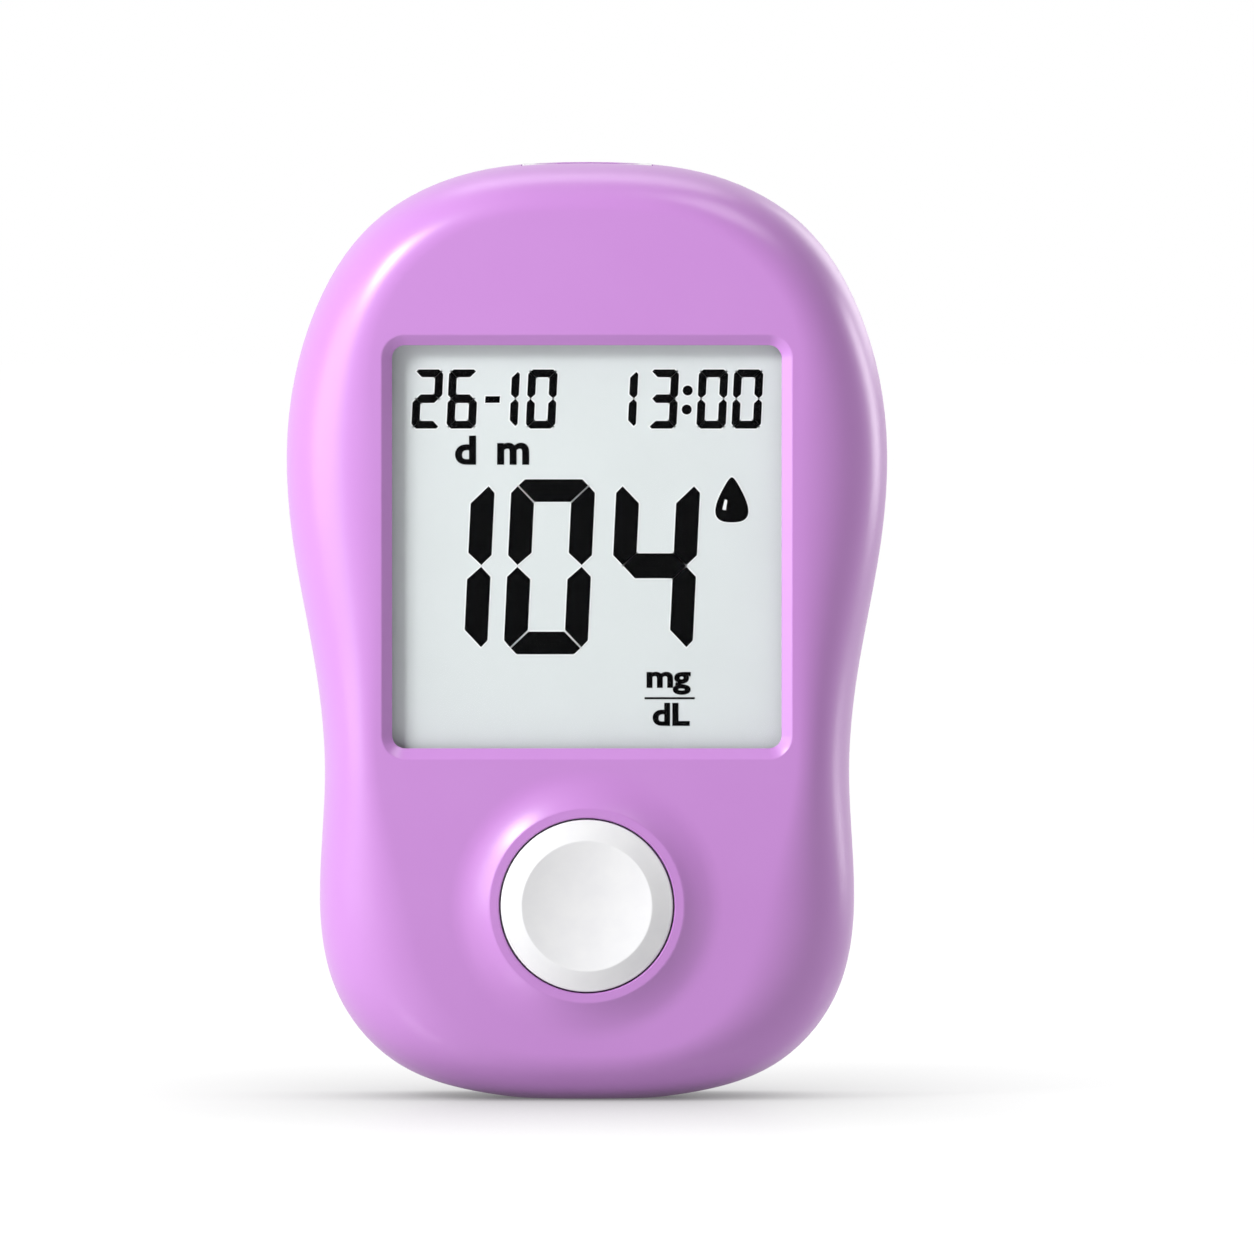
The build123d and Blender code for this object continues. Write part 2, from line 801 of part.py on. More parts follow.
# ---------------------------------------------------------------- button
def main_button():
    """Dished push button with a bevelled rim, a retaining flange and a plunger."""
    side_y = collar_y - button_proud
    crest_y = side_y - button_bevel_rise
    flange_front = inner_y + button_rest_gap
    flange_back = flange_front + button_flange_thickness
    dish = (button_dish_radius**2 + button_dish_depth**2) / (2 * button_dish_depth)
    half_turn = math.asin(button_dish_radius / dish) / 2
    dish_bottom = crest_y + button_dish_depth
    middle = (dish * math.sin(half_turn), dish_bottom - dish * (1 - math.cos(half_turn)))
    edge = button_edge_radius
    outer = [
        ThreePointArc((0, dish_bottom), middle, (button_dish_radius, crest_y)),
        Line((button_dish_radius, crest_y), (button_radius - edge, side_y)),
        ThreePointArc(
            (button_radius - edge, side_y),
            (button_radius - edge * 0.293, side_y + edge * 0.293),
            (button_radius, side_y + edge),
        ),
        Line((button_radius, side_y + edge), (button_radius, flange_front)),
        Line((button_radius, flange_front), (flange_radius, flange_front)),
        Line((flange_radius, flange_front), (flange_radius, flange_back)),
        Line((flange_radius, flange_back), (0, flange_back)),
        Line((0, flange_back), (0, dish_bottom)),
    ]
    axis = Axis((0, 0, button_z), (0, 1, 0))
    button = revolve(Plane.XY.offset(button_z) * make_face(outer), axis)
    ridges = button.edges().filter_by(GeomType.CIRCLE)
    crest = [e for e in ridges if abs(e.radius - button_dish_radius) < 0.01]
    button = fillet(crest, button_crest_radius)
    roof = dish_bottom + button_wall
    button -= peg(0, button_z, button_radius - button_wall, roof, flange_back + 1)
    post_end = dome_top_y() - dome_gap
    button += peg(0, button_z, button_post_radius, roof - 0.2, post_end)
    for n in range(button_ribs):
        rib = block(
            (button_post_radius - 0.3, button_radius - button_wall / 2),
            (roof - 0.2, flange_back - button_flange_thickness / 2),
            (-button_rib_thickness / 2, button_rib_thickness / 2),
        )
        button += Pos(0, 0, button_z) * Rot(0, 360 / button_ribs * n, 0) * rib
    return button


def dome_top_y():
    """Front of the silicone dome: it leaves the button its full travel."""
    return board_front - pill_stop_gap - button_travel - pill_thickness - dome_top_thickness


def button_dome():
    """Silicone dome that returns the button."""
    top = dome_top_y()
    pad_front = board_front - dome_pad_thickness
    under = top + dome_top_thickness
    solid = [
        (0, board_front),
        (dome_radius + dome_wall, board_front),
        (dome_radius + dome_wall, pad_front),
        (dome_radius, pad_front),
        (dome_top_radius, top + dome_wall),
        (dome_top_radius, top),
        (0, top),
    ]
    hollow = [
        (0, board_front + 1),
        (dome_radius - dome_wall, board_front + 1),
        (dome_radius - dome_wall, pad_front),
        (dome_top_radius - dome_wall, under),
        (0, under),
    ]
    pad = plate(dome_pad, dome_pad, button_z, 2, pad_front, board_front)
    return pad + turned(solid, button_z) - turned(hollow, button_z)


def carbon_pill():
    """Conductive pill under the dome, carried down by the button."""
    front = dome_top_y() + dome_top_thickness
    return peg(0, button_z, pill_radius, front, front + pill_thickness)


# ---------------------------------------------------------------- circuit board and its parts
def circuit_board():
    """Board with notches round the case bosses and holes for screws and pegs."""
    height = board_top - board_bottom
    middle = (board_top + board_bottom) / 2
    board = plate(board_width, height, middle, board_corner, board_front, board_back)
    notch = case_boss_radius + board_notch_gap
    for x, z in both_sides(case_screw_places):
        board -= peg(x, z, notch, board_front - 1, board_back + 1)
    for x, z in both_sides(board_screw_places):
        hole = board_screw_radius + board_hole_gap
        board -= peg(x, z, hole, board_front - 1, board_back + 1)
    for x, z in holder_peg_places():
        board -= peg(x, z, holder_peg_radius + board_hole_gap, board_front - 1, board_back + 1)
    return board


def lead(x, z, turn, reach):
    """A gull-wing lead from a chip's side, turned about the board's normal."""
    foot = block((0, reach), (board_back, board_back + lead_thickness), (0, lead_width))
    rise = block(
        (0, lead_thickness),
        (board_back, board_back + mcu_height / 2),
        (0, lead_width),
    )
    return Pos(x, 0, z) * Rot(0, turn, 0) * Pos(0, 0, -lead_width / 2) * (foot + rise)


def packaged_chip(place, size_x, size_z, height, sides):
    """A chip body with leads along the named sides: (turn, half size, leads, offset axis)."""
    x, z = place
    body = block(
        (x - size_x / 2, x + size_x / 2),
        (board_back + lead_lift, board_back + height),
        (z - size_z / 2, z + size_z / 2),
    )
    solids = [body]
    for turn, count in sides:
        upright = turn in (0, 180)
        half = size_x / 2 if upright else size_z / 2
        for n in range(count):
            along = (n - (count - 1) / 2) * lead_pitch
            dx = {0: half, 180: -half, 90: along, 270: along}[turn]
            dz = {0: along, 180: along, 90: -half, 270: half}[turn]
            solids.append(lead(x + dx, z + dz, turn, lead_reach))
    return Compound(solids)


def microcontroller():
    """Quad flat package with leads on four sides."""
    sides = [(turn, mcu_leads_per_side) for turn in (0, 90, 180, 270)]
    return packaged_chip(mcu_place, mcu_size, mcu_size, mcu_height, sides)


def analog_chip():
    """Small outline package that reads the strip."""
    sides = [(turn, analog_leads_per_side) for turn in (0, 180)]
    return packaged_chip(analog_place, analog_width, analog_length, analog_height, sides)


def crystal():
    """Watch crystal can lying on the board."""
    x, z = crystal_place
    can = Rot(0, 90, 0) * Cylinder(crystal_radius, crystal_length)
    return Pos(x, board_back + crystal_radius, z) * can


def buzzer():
    """Round buzzer with its sound hole."""
    x, z = buzzer_place
    can = peg(x, z, buzzer_radius, board_back, board_back + buzzer_height)
    rim = can.faces().sort_by(Axis.Y)[-1].edges()
    can = fillet(rim, lead_width)
    return can - peg(x, z, buzzer_hole_radius, board_back + 1, board_back + buzzer_height + 1)


def chip_group(height, side, lowest):
    """Rows of small two-pole chips beside the battery bay, as one group."""
    solids = []
    for n in range(chip_rows):
        z = lowest + n * chip_pitch
        for column in chip_columns:
            x = side * column
            solids.append(
                block(
                    (x - chip_width / 2, x + chip_width / 2),
                    (board_back, board_back + height),
                    (z - chip_length / 2, z + chip_length / 2),
                )
            )
    return Compound(solids)


# ---------------------------------------------------------------- batteries and contacts
def cell(x, bottom, nub_up):
    """A size AAA cell."""
    body_length = cell_length - cell_nub_length
    body = Cylinder(cell_radius, body_length)
    body = fillet(body.edges().filter_by(GeomType.CIRCLE), cell_edge_radius)
    nub = Pos(0, 0, body_length / 2 + cell_nub_length / 2) * Cylinder(
        cell_nub_radius, cell_nub_length
    )
    upright = Pos(0, 0, body_length / 2) * (body + nub)
    if not nub_up:
        upright = Pos(0, 0, cell_length) * Rot(180, 0, 0) * upright
    return Pos(x, cell_y, bottom) * upright


def spring(x, base, direction):
    """A conical coil that presses on a cell, starting just inside its plate."""
    height = spring_length - spring_wire - contact_gap
    sink = spring_wire / 4
    cone = -math.degrees(math.atan((spring_radius - spring_top_radius) / height))
    path = Helix(height / spring_turns, height, spring_radius, cone_angle=cone)
    start = path @ 0
    section = Plane(origin=start, z_dir=path % 0) * Circle(spring_wire / 2)
    coil = sweep(section, path=path)
    placed = Pos(0, 0, spring_wire / 2 - sink) * coil
    if direction < 0:
        placed = Rot(180, 0, 0) * placed
    return Pos(x, cell_y, base) * placed


def contact_plate(x_from, x_to, z_from):
    """A flat contact standing across the end of the bay."""
    top = bay_floor_back + contact_height
    return block((x_from, x_to), (bay_floor_back, top), (z_from, z_from + contact_thickness))


def bridge_contact():
    """Bottom contact: joins the two cells, with a coil under one of them."""
    half = cell_x + contact_width / 2
    sheet = contact_plate(-half, half, bay_bottom)
    return sheet + spring(-cell_x, bay_bottom + contact_thickness, 1)


def end_contact(x):
    """Top contact with a solder tab that reaches the board through the bay floor."""
    base = bay_top - contact_thickness
    sheet = contact_plate(x - contact_width / 2, x + contact_width / 2, base)
    tab = block(
        (x - contact_tab / 2, x + contact_tab / 2),
        (board_back, bay_floor_back + 1),
        (base, bay_top),
    )
    return sheet + tab


def positive_contact():
    """Flat top contact."""
    return end_contact(-cell_x)


def negative_contact():
    """Top contact with a coil."""
    return end_contact(cell_x) + spring(cell_x, bay_top - contact_thickness, -1)


# ---------------------------------------------------------------- strip port and connector
def strip_port():
    """Moulded insert in the top end that guides a strip into the connector."""
    bottom = connector_top + port_seat_gap
    body = block(
        (-port_width / 2, port_width / 2),
        (slot_y - port_thickness / 2, slot_y + port_thickness / 2),
        (bottom, port_top),
    )
    body = fillet(body.faces().sort_by(Axis.Z)[-1].edges(), port_edge)
    grow = port_flange
    flange_top = port_top - wall - port_flange_drop
    body += block(
        (-port_width / 2 - grow, port_width / 2 + grow),
        (slot_y - port_thickness / 2 - grow, slot_y + port_thickness / 2 + grow),
        (flange_top - port_flange_thickness, flange_top),
    )
    slot_width = strip_width + 2 * strip_clearance
    body -= block(
        (-slot_width / 2, slot_width / 2),
        (slot_y - port_slot / 2, slot_y + port_slot / 2),
        (bottom - 1, port_top + 1),
    )
    above = port_edge
    spread = 1 + above / port_mouth_depth
    mouth = loft(
        [
            Plane.XY.offset(port_top - port_mouth_depth)
            * Pos(0, slot_y)
            * Rectangle(slot_width, port_slot),
            Plane.XY.offset(port_top + above)
            * Pos(0, slot_y)
            * Rectangle(port_mouth_width * spread, port_mouth_thickness * spread),
        ]
    )
    return body - mouth


def groove_places():
    """Across-case places of the strip connector's contacts."""
    middle = (contact_count - 1) / 2
    return [(n - middle) * contact_pitch for n in range(contact_count)]


def strip_connector():
    """Connector body on the board: a slot for the strip and a groove for each contact."""
    y_from, y_to = board_back, board_back + connector_thickness
    bottom = connector_top - connector_length
    body = block((-connector_width / 2, connector_width / 2), (y_from, y_to), (bottom, connector_top))
    slot_width = strip_width + 2 * strip_clearance
    slot_front = slot_y - connector_slot / 2
    body -= block(
        (-slot_width / 2, slot_width / 2),
        (slot_front, slot_y + connector_slot / 2),
        (bottom + connector_floor, connector_top + 1),
    )
    half = spring_contact_width / 2 + contact_groove_gap
    for x in groove_places():
        lane = (y_from - 1, slot_front + 0.1)
        body -= block((x - half, x + half), lane, (bottom - 1, connector_top - 1))
    return body


def strip_contacts():
    """Row of sprung contacts, each bowed into the strip's slot."""
    bottom = connector_top - connector_length
    thickness = spring_contact_thickness
    lane = board_back + thickness / 2
    crest = slot_y - connector_slot / 2 + thickness
    solids = []
    for x in groove_places():
        path = FilletPolyline(
            (x, lane, bottom - spring_contact_tail),
            (x, lane, bottom + connector_length * 0.08),
            (x, lane + (crest - lane) * 0.3, bottom + connector_length * 0.26),
            (x, crest, bottom + connector_length * 0.62),
            (x, lane + spring_contact_bow, bottom + connector_length * 0.84),
            radius=spring_contact_bend,
        )
        section = Plane(origin=path @ 0, z_dir=path % 0, x_dir=(1, 0, 0))
        strip = Rectangle(spring_contact_width, thickness)
        solids.append(sweep(section * strip, path=path))
    return Compound(solids)


# ---------------------------------------------------------------- screws
def case_screws():
    """The four screws that hold the shells together, as one group."""
    solids = []
    for x, z in both_sides(case_screw_places):
        head_end = case_screw_seat + case_screw_head_height
        screw = peg(x, z, case_screw_head_radius, case_screw_seat, head_end)
        screw += peg(x, z, case_screw_radius, -case_screw_bite, case_screw_seat + 0.1)
        length = case_screw_head_radius * 0.6
        solids.append(screw - cross_recess(x, z, head_end, screw_recess_depth, length))
    return Compound(solids)


def board_screws():
    """The four screws that hold the circuit board, as one group."""
    solids = []
    for x, z in both_sides(board_screw_places):
        head_end = board_back + board_screw_head_height
        screw = peg(x, z, board_screw_head_radius, board_back, head_end)
        screw += peg(x, z, board_screw_radius, board_front - board_screw_bite, board_back + 0.1)
        length = board_screw_head_radius * 0.6
        solids.append(screw - cross_recess(x, z, head_end, screw_recess_depth / 2, length))
    return Compound(solids)


# ---------------------------------------------------------------- all parts
def main():
    """Builds each part and writes it as parts/NODE.step."""
    low_cell = bay_bottom + contact_thickness + contact_gap
    high_cell = bay_top - contact_thickness - contact_gap - cell_length
    parts = {
        "front_cover": front_cover(),
        "rear_cover": rear_cover(),
        "battery_door": battery_door(),
        "display_window": display_window(),
        "window_tape": window_tape(),
        "lcd_polariser": lcd_polariser(),
        "lcd_front_glass": lcd_front_glass(),
        "lcd_rear_glass": lcd_rear_glass(),
        "lcd_reflector": lcd_reflector(),
        "lcd_holder": lcd_holder(),
        "zebra_connector": zebra_connector(),
        "main_button": main_button(),
        "button_dome": button_dome(),
        "carbon_pill": carbon_pill(),
        "circuit_board": circuit_board(),
        "microcontroller": microcontroller(),
        "analog_chip": analog_chip(),
        "crystal": crystal(),
        "buzzer": buzzer(),
        "chip_capacitors": chip_group(capacitor_height, -1, capacitor_z),
        "chip_resistors": chip_group(resistor_height, 1, resistor_z),
        "battery_cell_left": cell(-cell_x, high_cell, True),
        "battery_cell_right": cell(cell_x, low_cell, False),
        "battery_bridge_contact": bridge_contact(),
        "battery_positive_contact": positive_contact(),
        "battery_negative_contact": negative_contact(),
        "strip_port": strip_port(),
        "strip_connector": strip_connector(),
        "strip_contacts": strip_contacts(),
        "case_screws": case_screws(),
        "board_screws": board_screws(),
    }
    os.makedirs("parts", exist_ok=True)
    for name, shape in parts.items():
        export_step(shape, f"parts/{name}.step")


main()
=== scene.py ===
import json
import logging
import math
from dataclasses import dataclass
from enum import Enum
from typing import Callable, Iterable, Mapping, Optional, Sequence

import bpy
import numpy as np
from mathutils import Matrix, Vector
from mathutils.bvhtree import BVHTree
from mathutils.interpolate import poly_3d_calc

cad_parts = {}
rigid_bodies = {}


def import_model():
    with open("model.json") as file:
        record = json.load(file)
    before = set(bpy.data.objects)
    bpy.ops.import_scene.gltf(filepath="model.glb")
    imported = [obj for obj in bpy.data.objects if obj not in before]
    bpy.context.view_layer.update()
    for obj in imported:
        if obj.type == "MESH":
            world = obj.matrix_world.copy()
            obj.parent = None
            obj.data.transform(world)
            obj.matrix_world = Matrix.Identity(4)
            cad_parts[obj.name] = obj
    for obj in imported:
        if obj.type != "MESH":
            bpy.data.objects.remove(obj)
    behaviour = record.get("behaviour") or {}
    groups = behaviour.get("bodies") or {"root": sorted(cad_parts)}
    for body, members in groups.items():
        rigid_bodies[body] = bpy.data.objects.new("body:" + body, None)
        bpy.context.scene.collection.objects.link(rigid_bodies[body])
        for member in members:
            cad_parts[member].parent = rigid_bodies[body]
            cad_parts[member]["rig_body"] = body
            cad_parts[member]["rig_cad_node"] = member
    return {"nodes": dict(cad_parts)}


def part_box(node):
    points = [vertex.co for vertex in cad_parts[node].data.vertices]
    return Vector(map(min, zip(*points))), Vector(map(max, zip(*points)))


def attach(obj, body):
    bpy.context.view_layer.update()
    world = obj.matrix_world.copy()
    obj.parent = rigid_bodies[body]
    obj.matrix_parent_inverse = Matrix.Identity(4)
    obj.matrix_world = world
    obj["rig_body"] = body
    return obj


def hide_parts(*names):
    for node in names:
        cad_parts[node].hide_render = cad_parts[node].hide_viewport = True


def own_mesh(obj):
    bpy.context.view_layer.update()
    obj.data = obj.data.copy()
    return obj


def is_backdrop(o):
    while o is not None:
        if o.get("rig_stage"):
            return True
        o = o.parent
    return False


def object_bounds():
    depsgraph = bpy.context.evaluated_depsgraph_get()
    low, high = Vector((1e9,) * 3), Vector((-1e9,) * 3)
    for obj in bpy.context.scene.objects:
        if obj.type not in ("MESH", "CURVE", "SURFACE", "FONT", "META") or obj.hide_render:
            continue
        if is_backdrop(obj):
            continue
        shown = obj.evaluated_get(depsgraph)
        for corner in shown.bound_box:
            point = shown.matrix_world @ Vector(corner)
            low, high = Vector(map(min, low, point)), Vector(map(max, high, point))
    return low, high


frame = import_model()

# A blood glucose meter: satin lilac case, flush display window, white dished button, strip port in
# the top end and a battery door in the back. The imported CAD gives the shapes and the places; this
# file dresses them. Sizes in the classes are millimetres in the CAD frame (X across, Y front to
# back, Z up), and MM turns them to metres.

LOG = logging.getLogger("glucose_meter")
MM = 0.001
Point = tuple[float, float]
Piece = bpy.types.Object
Material = bpy.types.Material
Tree = bpy.types.NodeTree
Node = bpy.types.Node
Socket = bpy.types.NodeSocket


class Body(Enum):
    """The CAD bodies that pieces ride on."""

    HOUSING = "housing"
    BUTTON = "button"
    DOOR = "door"


# ---------------------------------------------------------------- small tools
def linear(colour: str) -> tuple[float, float, float, float]:
    """Turns an sRGB hex colour, six digits after a hash, to linear light with a full alpha."""
    parts = [int(colour[i : i + 2], 16) / 255 for i in (1, 3, 5)]
    r, g, b = (c / 12.92 if c <= 0.04045 else ((c + 0.055) / 1.055) ** 2.4 for c in parts)
    return (r, g, b, 1.0)


def add_node(
    tree: Tree, kind: str, inputs: Optional[Mapping[object, object]] = None, **settings: object
) -> Node:
    """Adds a node with its settings and links.

    Args:
        tree: The node tree it goes in.
        kind: The shader node's type, such as Bump.
        inputs: Input name or number to a value, or to the output socket that feeds it.
        **settings: Attributes of the node itself.

    Returns:
        The new node.
    """
    node = tree.nodes.new("ShaderNode" + kind)
    for name, value in settings.items():
        setattr(node, name, value)
    for key, value in (inputs or {}).items():
        if isinstance(value, Socket):
            tree.links.new(value, node.inputs[key])
        else:
            node.inputs[key].default_value = value
    return node


def emptied(owner: bpy.types.ID) -> Tree:
    """Switches a material's or world's nodes on, and returns its tree with nothing in it."""
    owner.use_nodes = True
    owner.node_tree.nodes.clear()
    return owner.node_tree


def maths(tree: Tree, operation: str, *values: object, clamp: bool = False) -> Socket:
    """Adds a Math node on values or sockets, and returns its result."""
    node = add_node(tree, "Math", dict(enumerate(values)), operation=operation, use_clamp=clamp)
    return node.outputs[0]


def ranged(
    tree: Tree,
    value: Socket,
    start: Sequence[float] = (0.0, 1.0),
    end: Sequence[object] = (0.0, 1.0),
    smooth: bool = False,
) -> Socket:
    """Maps a value from one range to another.

    Args:
        tree: The node tree.
        value: The value.
        start: The range that it is in.
        end: The range that it gets, as numbers or sockets.
        smooth: Whether it eases in and out.

    Returns:
        The mapped value.
    """
    names = ("From Min", "From Max", "To Min", "To Max")
    node = add_node(
        tree,
        "MapRange",
        {"Value": value, **dict(zip(names, (*start, *end)))},
        interpolation_type="SMOOTHSTEP" if smooth else "LINEAR",
    )
    return node.outputs["Result"]


def noise(tree: Tree, place: Socket, lump_mm: float, detail: float) -> Socket:
    """Adds a noise of a lump size in millimetres, and returns its factor."""
    node = add_node(tree, "TexNoise", {"Vector": place, "Scale": 1 / (lump_mm * MM), "Detail": detail})
    return node.outputs["Fac"]


def raise_by(
    shader: Node, height: Socket, distance_mm: float, strength: float, invert: bool = False
) -> None:
    """Gives a shader a relief that follows a height factor."""
    tree = shader.id_data
    relief = add_node(
        tree,
        "Bump",
        {"Height": height, "Distance": distance_mm * MM, "Strength": strength},
        invert=invert,
    )
    tree.links.new(relief.outputs["Normal"], shader.inputs["Normal"])


def pick(piece: Piece) -> Piece:
    """Makes a piece the only selected and the active object, and returns it."""
    if bpy.context.mode != "OBJECT":
        bpy.ops.object.mode_set(mode="OBJECT")
    bpy.ops.object.select_all(action="DESELECT")
    piece.select_set(True)
    bpy.context.view_layer.objects.active = piece
    return piece


def rework(piece: Piece, *steps: Callable[[], object]) -> None:
    """Runs steps in edit mode, each on the whole of a piece."""
    pick(piece)
    bpy.ops.object.mode_set(mode="EDIT")
    for step in steps:
        bpy.ops.mesh.select_all(action="SELECT")
        step()
    bpy.ops.object.mode_set(mode="OBJECT")


def face_outwards() -> None:
    """Turns the faces that are in edit outwards."""
    bpy.ops.mesh.normals_make_consistent(inside=False)


def weld(reach_mm: float) -> Callable[[], object]:
    """Returns the step that merges points nearer than a reach."""
    return lambda: bpy.ops.mesh.remove_doubles(threshold=reach_mm * MM)


def joined(pieces: Sequence[Piece], name: str) -> Piece:
    """Joins pieces into one.

    Args:
        pieces: The pieces; the first one takes the others in.
        name: The name of the result.

    Returns:
        The joined piece.
    """
    pick(pieces[0])
    for piece in pieces[1:]:
        piece.select_set(True)
    if len(pieces) > 1:
        bpy.ops.object.join()
    pieces[0].name = name
    return pieces[0]


def dress(piece: Piece, material: Material) -> None:
    """Gives a piece one material in all its slots."""
    if not piece.material_slots:
        piece.data.materials.append(material)
    for slot in piece.material_slots:
        slot.material = material


def dress_nodes(finishes: Mapping[str, Material]) -> None:
    """Dresses the CAD nodes that are shown as they are."""
    for node, material in finishes.items():
        dress(frame["nodes"][node], material)
        LOG.info("%s: %s", node, material.name)


def settle(piece: Piece, body: Body, material: Material) -> Piece:
    """Dresses a new piece and puts it on its body.

    Args:
        piece: The piece, in place.
        body: The CAD body it moves with.
        material: Its finish.

    Returns:
        The piece.
    """
    dress(piece, material)
    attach(piece, body.value)
    LOG.info("%s: %d faces, on %s", piece.name, len(piece.data.polygons), body.value)
    return piece


def merged_copy(node: str, name: str, smooth_degrees: float) -> Piece:
    """Copies a CAD node's mesh, closes its loose triangles up and shades it smooth by angle.

    Args:
        node: The CAD node.
        name: The copy's name.
        smooth_degrees: Edges that turn more than this stay sharp.

    Returns:
        The copy, which stands for the node.
    """
    source = frame["nodes"][node]
    pick(source)
    bpy.ops.object.duplicate()
    piece = bpy.context.object
    piece.name = name
    piece.parent = None
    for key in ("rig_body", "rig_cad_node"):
        if key in piece:
            del piece[key]
    pick(piece)
    if piece.data.has_custom_normals:
        bpy.ops.mesh.customdata_custom_splitnormals_clear()
    rework(piece, weld(0.002))
    bpy.ops.object.shade_smooth_by_angle(angle=math.radians(smooth_degrees))
    weighted = piece.modifiers.new("weighted", "WEIGHTED_NORMAL")
    weighted.keep_sharp = True
    bpy.ops.object.modifier_apply(modifier=weighted.name)
    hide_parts(node)
    return piece


# ---------------------------------------------------------------- true surface normals
LEVEL = 0.99999  # a face that looks this straight to the front or back keeps its own normal


class Form:
    """A true surface that a mesh lies on."""

    def normal(self, x: float, y: float, z: float) -> Optional[Sequence[float]]:
        """Returns the surface's normal at a point in millimetres, or None away from it."""
        raise NotImplementedError

    def normals_at(self, points: np.ndarray) -> tuple[np.ndarray, np.ndarray]:
        """Finds the surface's normal at each point that lies on it.

        Args:
            points: Rows of x, y and z in millimetres.

        Returns:
            The normals, and which rows have one.
        """
        normals = [self.normal(*point) for point in points]
        found = np.array([n if n is not None else (0.0, 0.0, 0.0) for n in normals])
        return found, np.array([n is not None for n in normals])


class PebbleForm(Form):
    """The case's outer form, rebuilt as a fine net so that its mesh is shaded by true normals.

    The right half outline is a smooth curve through named stations, and the edge rolls in from it
    to the flat face as a superellipse.
    """

    HALF_WIDTH = 29.95
    HEIGHT = 93.5
    SINK = 0.35
    LEAST_ROLL = 0.5
    REACH = 0.15  # how far off the net a point may lie
    OUTLINE = (
        (0.000, 1.0000, 0.1603),
        (0.395, 0.9880, 0.1669),
        (0.721, 0.9330, 0.2003),
        (0.914, 0.8370, 0.2270),
        (0.998, 0.7190, 0.2938),
        (0.978, 0.5880, 0.2805),
        (0.908, 0.4650, 0.2137),
        (0.875, 0.3480, 0.1836),
        (0.892, 0.2300, 0.2805),
        (0.835, 0.1154, 0.3139),
        (0.634, 0.0400, 0.2671),
        (0.345, 0.0084, 0.1870),
        (0.000, 0.0000, 0.1669),
    )
    RINGS = 61
    STEPS = 14

    def __init__(self, y_from: float, y_to: float, fullness: float, roll_scale: float) -> None:
        """Builds the net.

        Args:
            y_from: Depth of the full outline.
            y_to: Depth of the flat face.
            fullness: Exponent of the rolled edge.
            roll_scale: Width of the roll against the stations' own.
        """
        stations = self._stations()
        turns = np.linspace(0, math.pi / 2, self.RINGS)
        share = 1 - np.cos(turns) ** (2 / fullness)
        share[-1] = 1.0
        depth = y_from + (y_to - y_from) * np.sin(turns) ** (2 / fullness)
        rings = []
        for part, y in zip(share, depth):
            reach = np.maximum(stations[:, 2] * roll_scale, self.LEAST_ROLL) * part
            points = stations[:, :2] - stations[:, 3:] * reach[:, None]
            ring = self._curve(points)
            rings.append(np.column_stack([ring[:, 0], np.full(len(ring), y), ring[:, 1]]))
        net = np.array(rings)
        across = np.gradient(net, axis=1)
        inward = np.gradient(net, axis=0)
        normals = np.cross(across, inward)
        normals /= np.linalg.norm(normals, axis=2, keepdims=True)
        centre = np.array([0.0, y_from, self.HEIGHT / 2])
        if np.sum(normals[5] * (net[5] - centre)) < 0:
            normals = -normals
        normals[0, :, 1] = 0
        normals[-1] = (0, math.copysign(1, y_to - y_from), 0)
        normals[:, (0, -1), 0] = 0
        normals /= np.linalg.norm(normals, axis=2, keepdims=True)
        count = net.shape[1]
        self.normals = normals.reshape(-1, 3)
        self.points = [Vector(p) for p in net.reshape(-1, 3)]
        self.faces = [
            (r * count + c, r * count + c + 1, (r + 1) * count + c + 1, (r + 1) * count + c)
            for r in range(self.RINGS - 1)
            for c in range(count - 1)
        ]
        self.tree = BVHTree.FromPolygons(self.points, self.faces)

    def _stations(self) -> np.ndarray:
        """Returns the stations as rows of x, z, roll and the outline's normal there."""
        rows = np.array(self.OUTLINE)
        x = rows[:, 0] * self.HALF_WIDTH
        z = rows[:, 1] * (self.HEIGHT + self.SINK) - self.SINK
        points = np.column_stack([x, z])
        before = np.vstack([points[1] * (-1, 1), points[:-1]])
        after = np.vstack([points[1:], points[-2] * (-1, 1)])
        into, out = points - before, after - points
        tangent = into / np.sum(into**2, axis=1)[:, None] + out / np.sum(out**2, axis=1)[:, None]
        tangent /= np.linalg.norm(tangent, axis=1)[:, None]
        roll = rows[:, 2] * self.HALF_WIDTH
        return np.column_stack([x, z, roll, -tangent[:, 1], tangent[:, 0]])

    def _curve(self, points: np.ndarray) -> np.ndarray:
        """Runs a smooth cubic through the points, level at both ends.

        Args:
            points: Rows of x and z.

        Returns:
            Rows of x and z along the curve.
        """
        chord = np.linalg.norm(np.diff(points, axis=0), axis=1)
        count = len(points)
        system = np.zeros((count, count))
        known = np.zeros((count, 2))
        system[0, 0] = system[-1, -1] = 1
        known[0], known[-1] = (1, 0), (-1, 0)
        for i in range(1, count - 1):
            a, b = chord[i - 1], chord[i]
            system[i, i - 1], system[i, i], system[i, i + 1] = 1 / a, 2 / a + 2 / b, 1 / b
            known[i] = 3 * (points[i] - points[i - 1]) / a**2
            known[i] += 3 * (points[i + 1] - points[i]) / b**2
        slopes = np.linalg.solve(system, known)
        u = np.linspace(0, 1, self.STEPS, endpoint=False)[:, None]
        spans = []
        for i in range(count - 1):
            start, end = points[i], points[i + 1]
            m, n = slopes[i] * chord[i], slopes[i + 1] * chord[i]
            spans.append(
                (2 * u**3 - 3 * u**2 + 1) * start
                + (u**3 - 2 * u**2 + u) * m
                + (3 * u**2 - 2 * u**3) * end
                + (u**3 - u**2) * n
            )
        return np.vstack(spans + [points[-1:]])

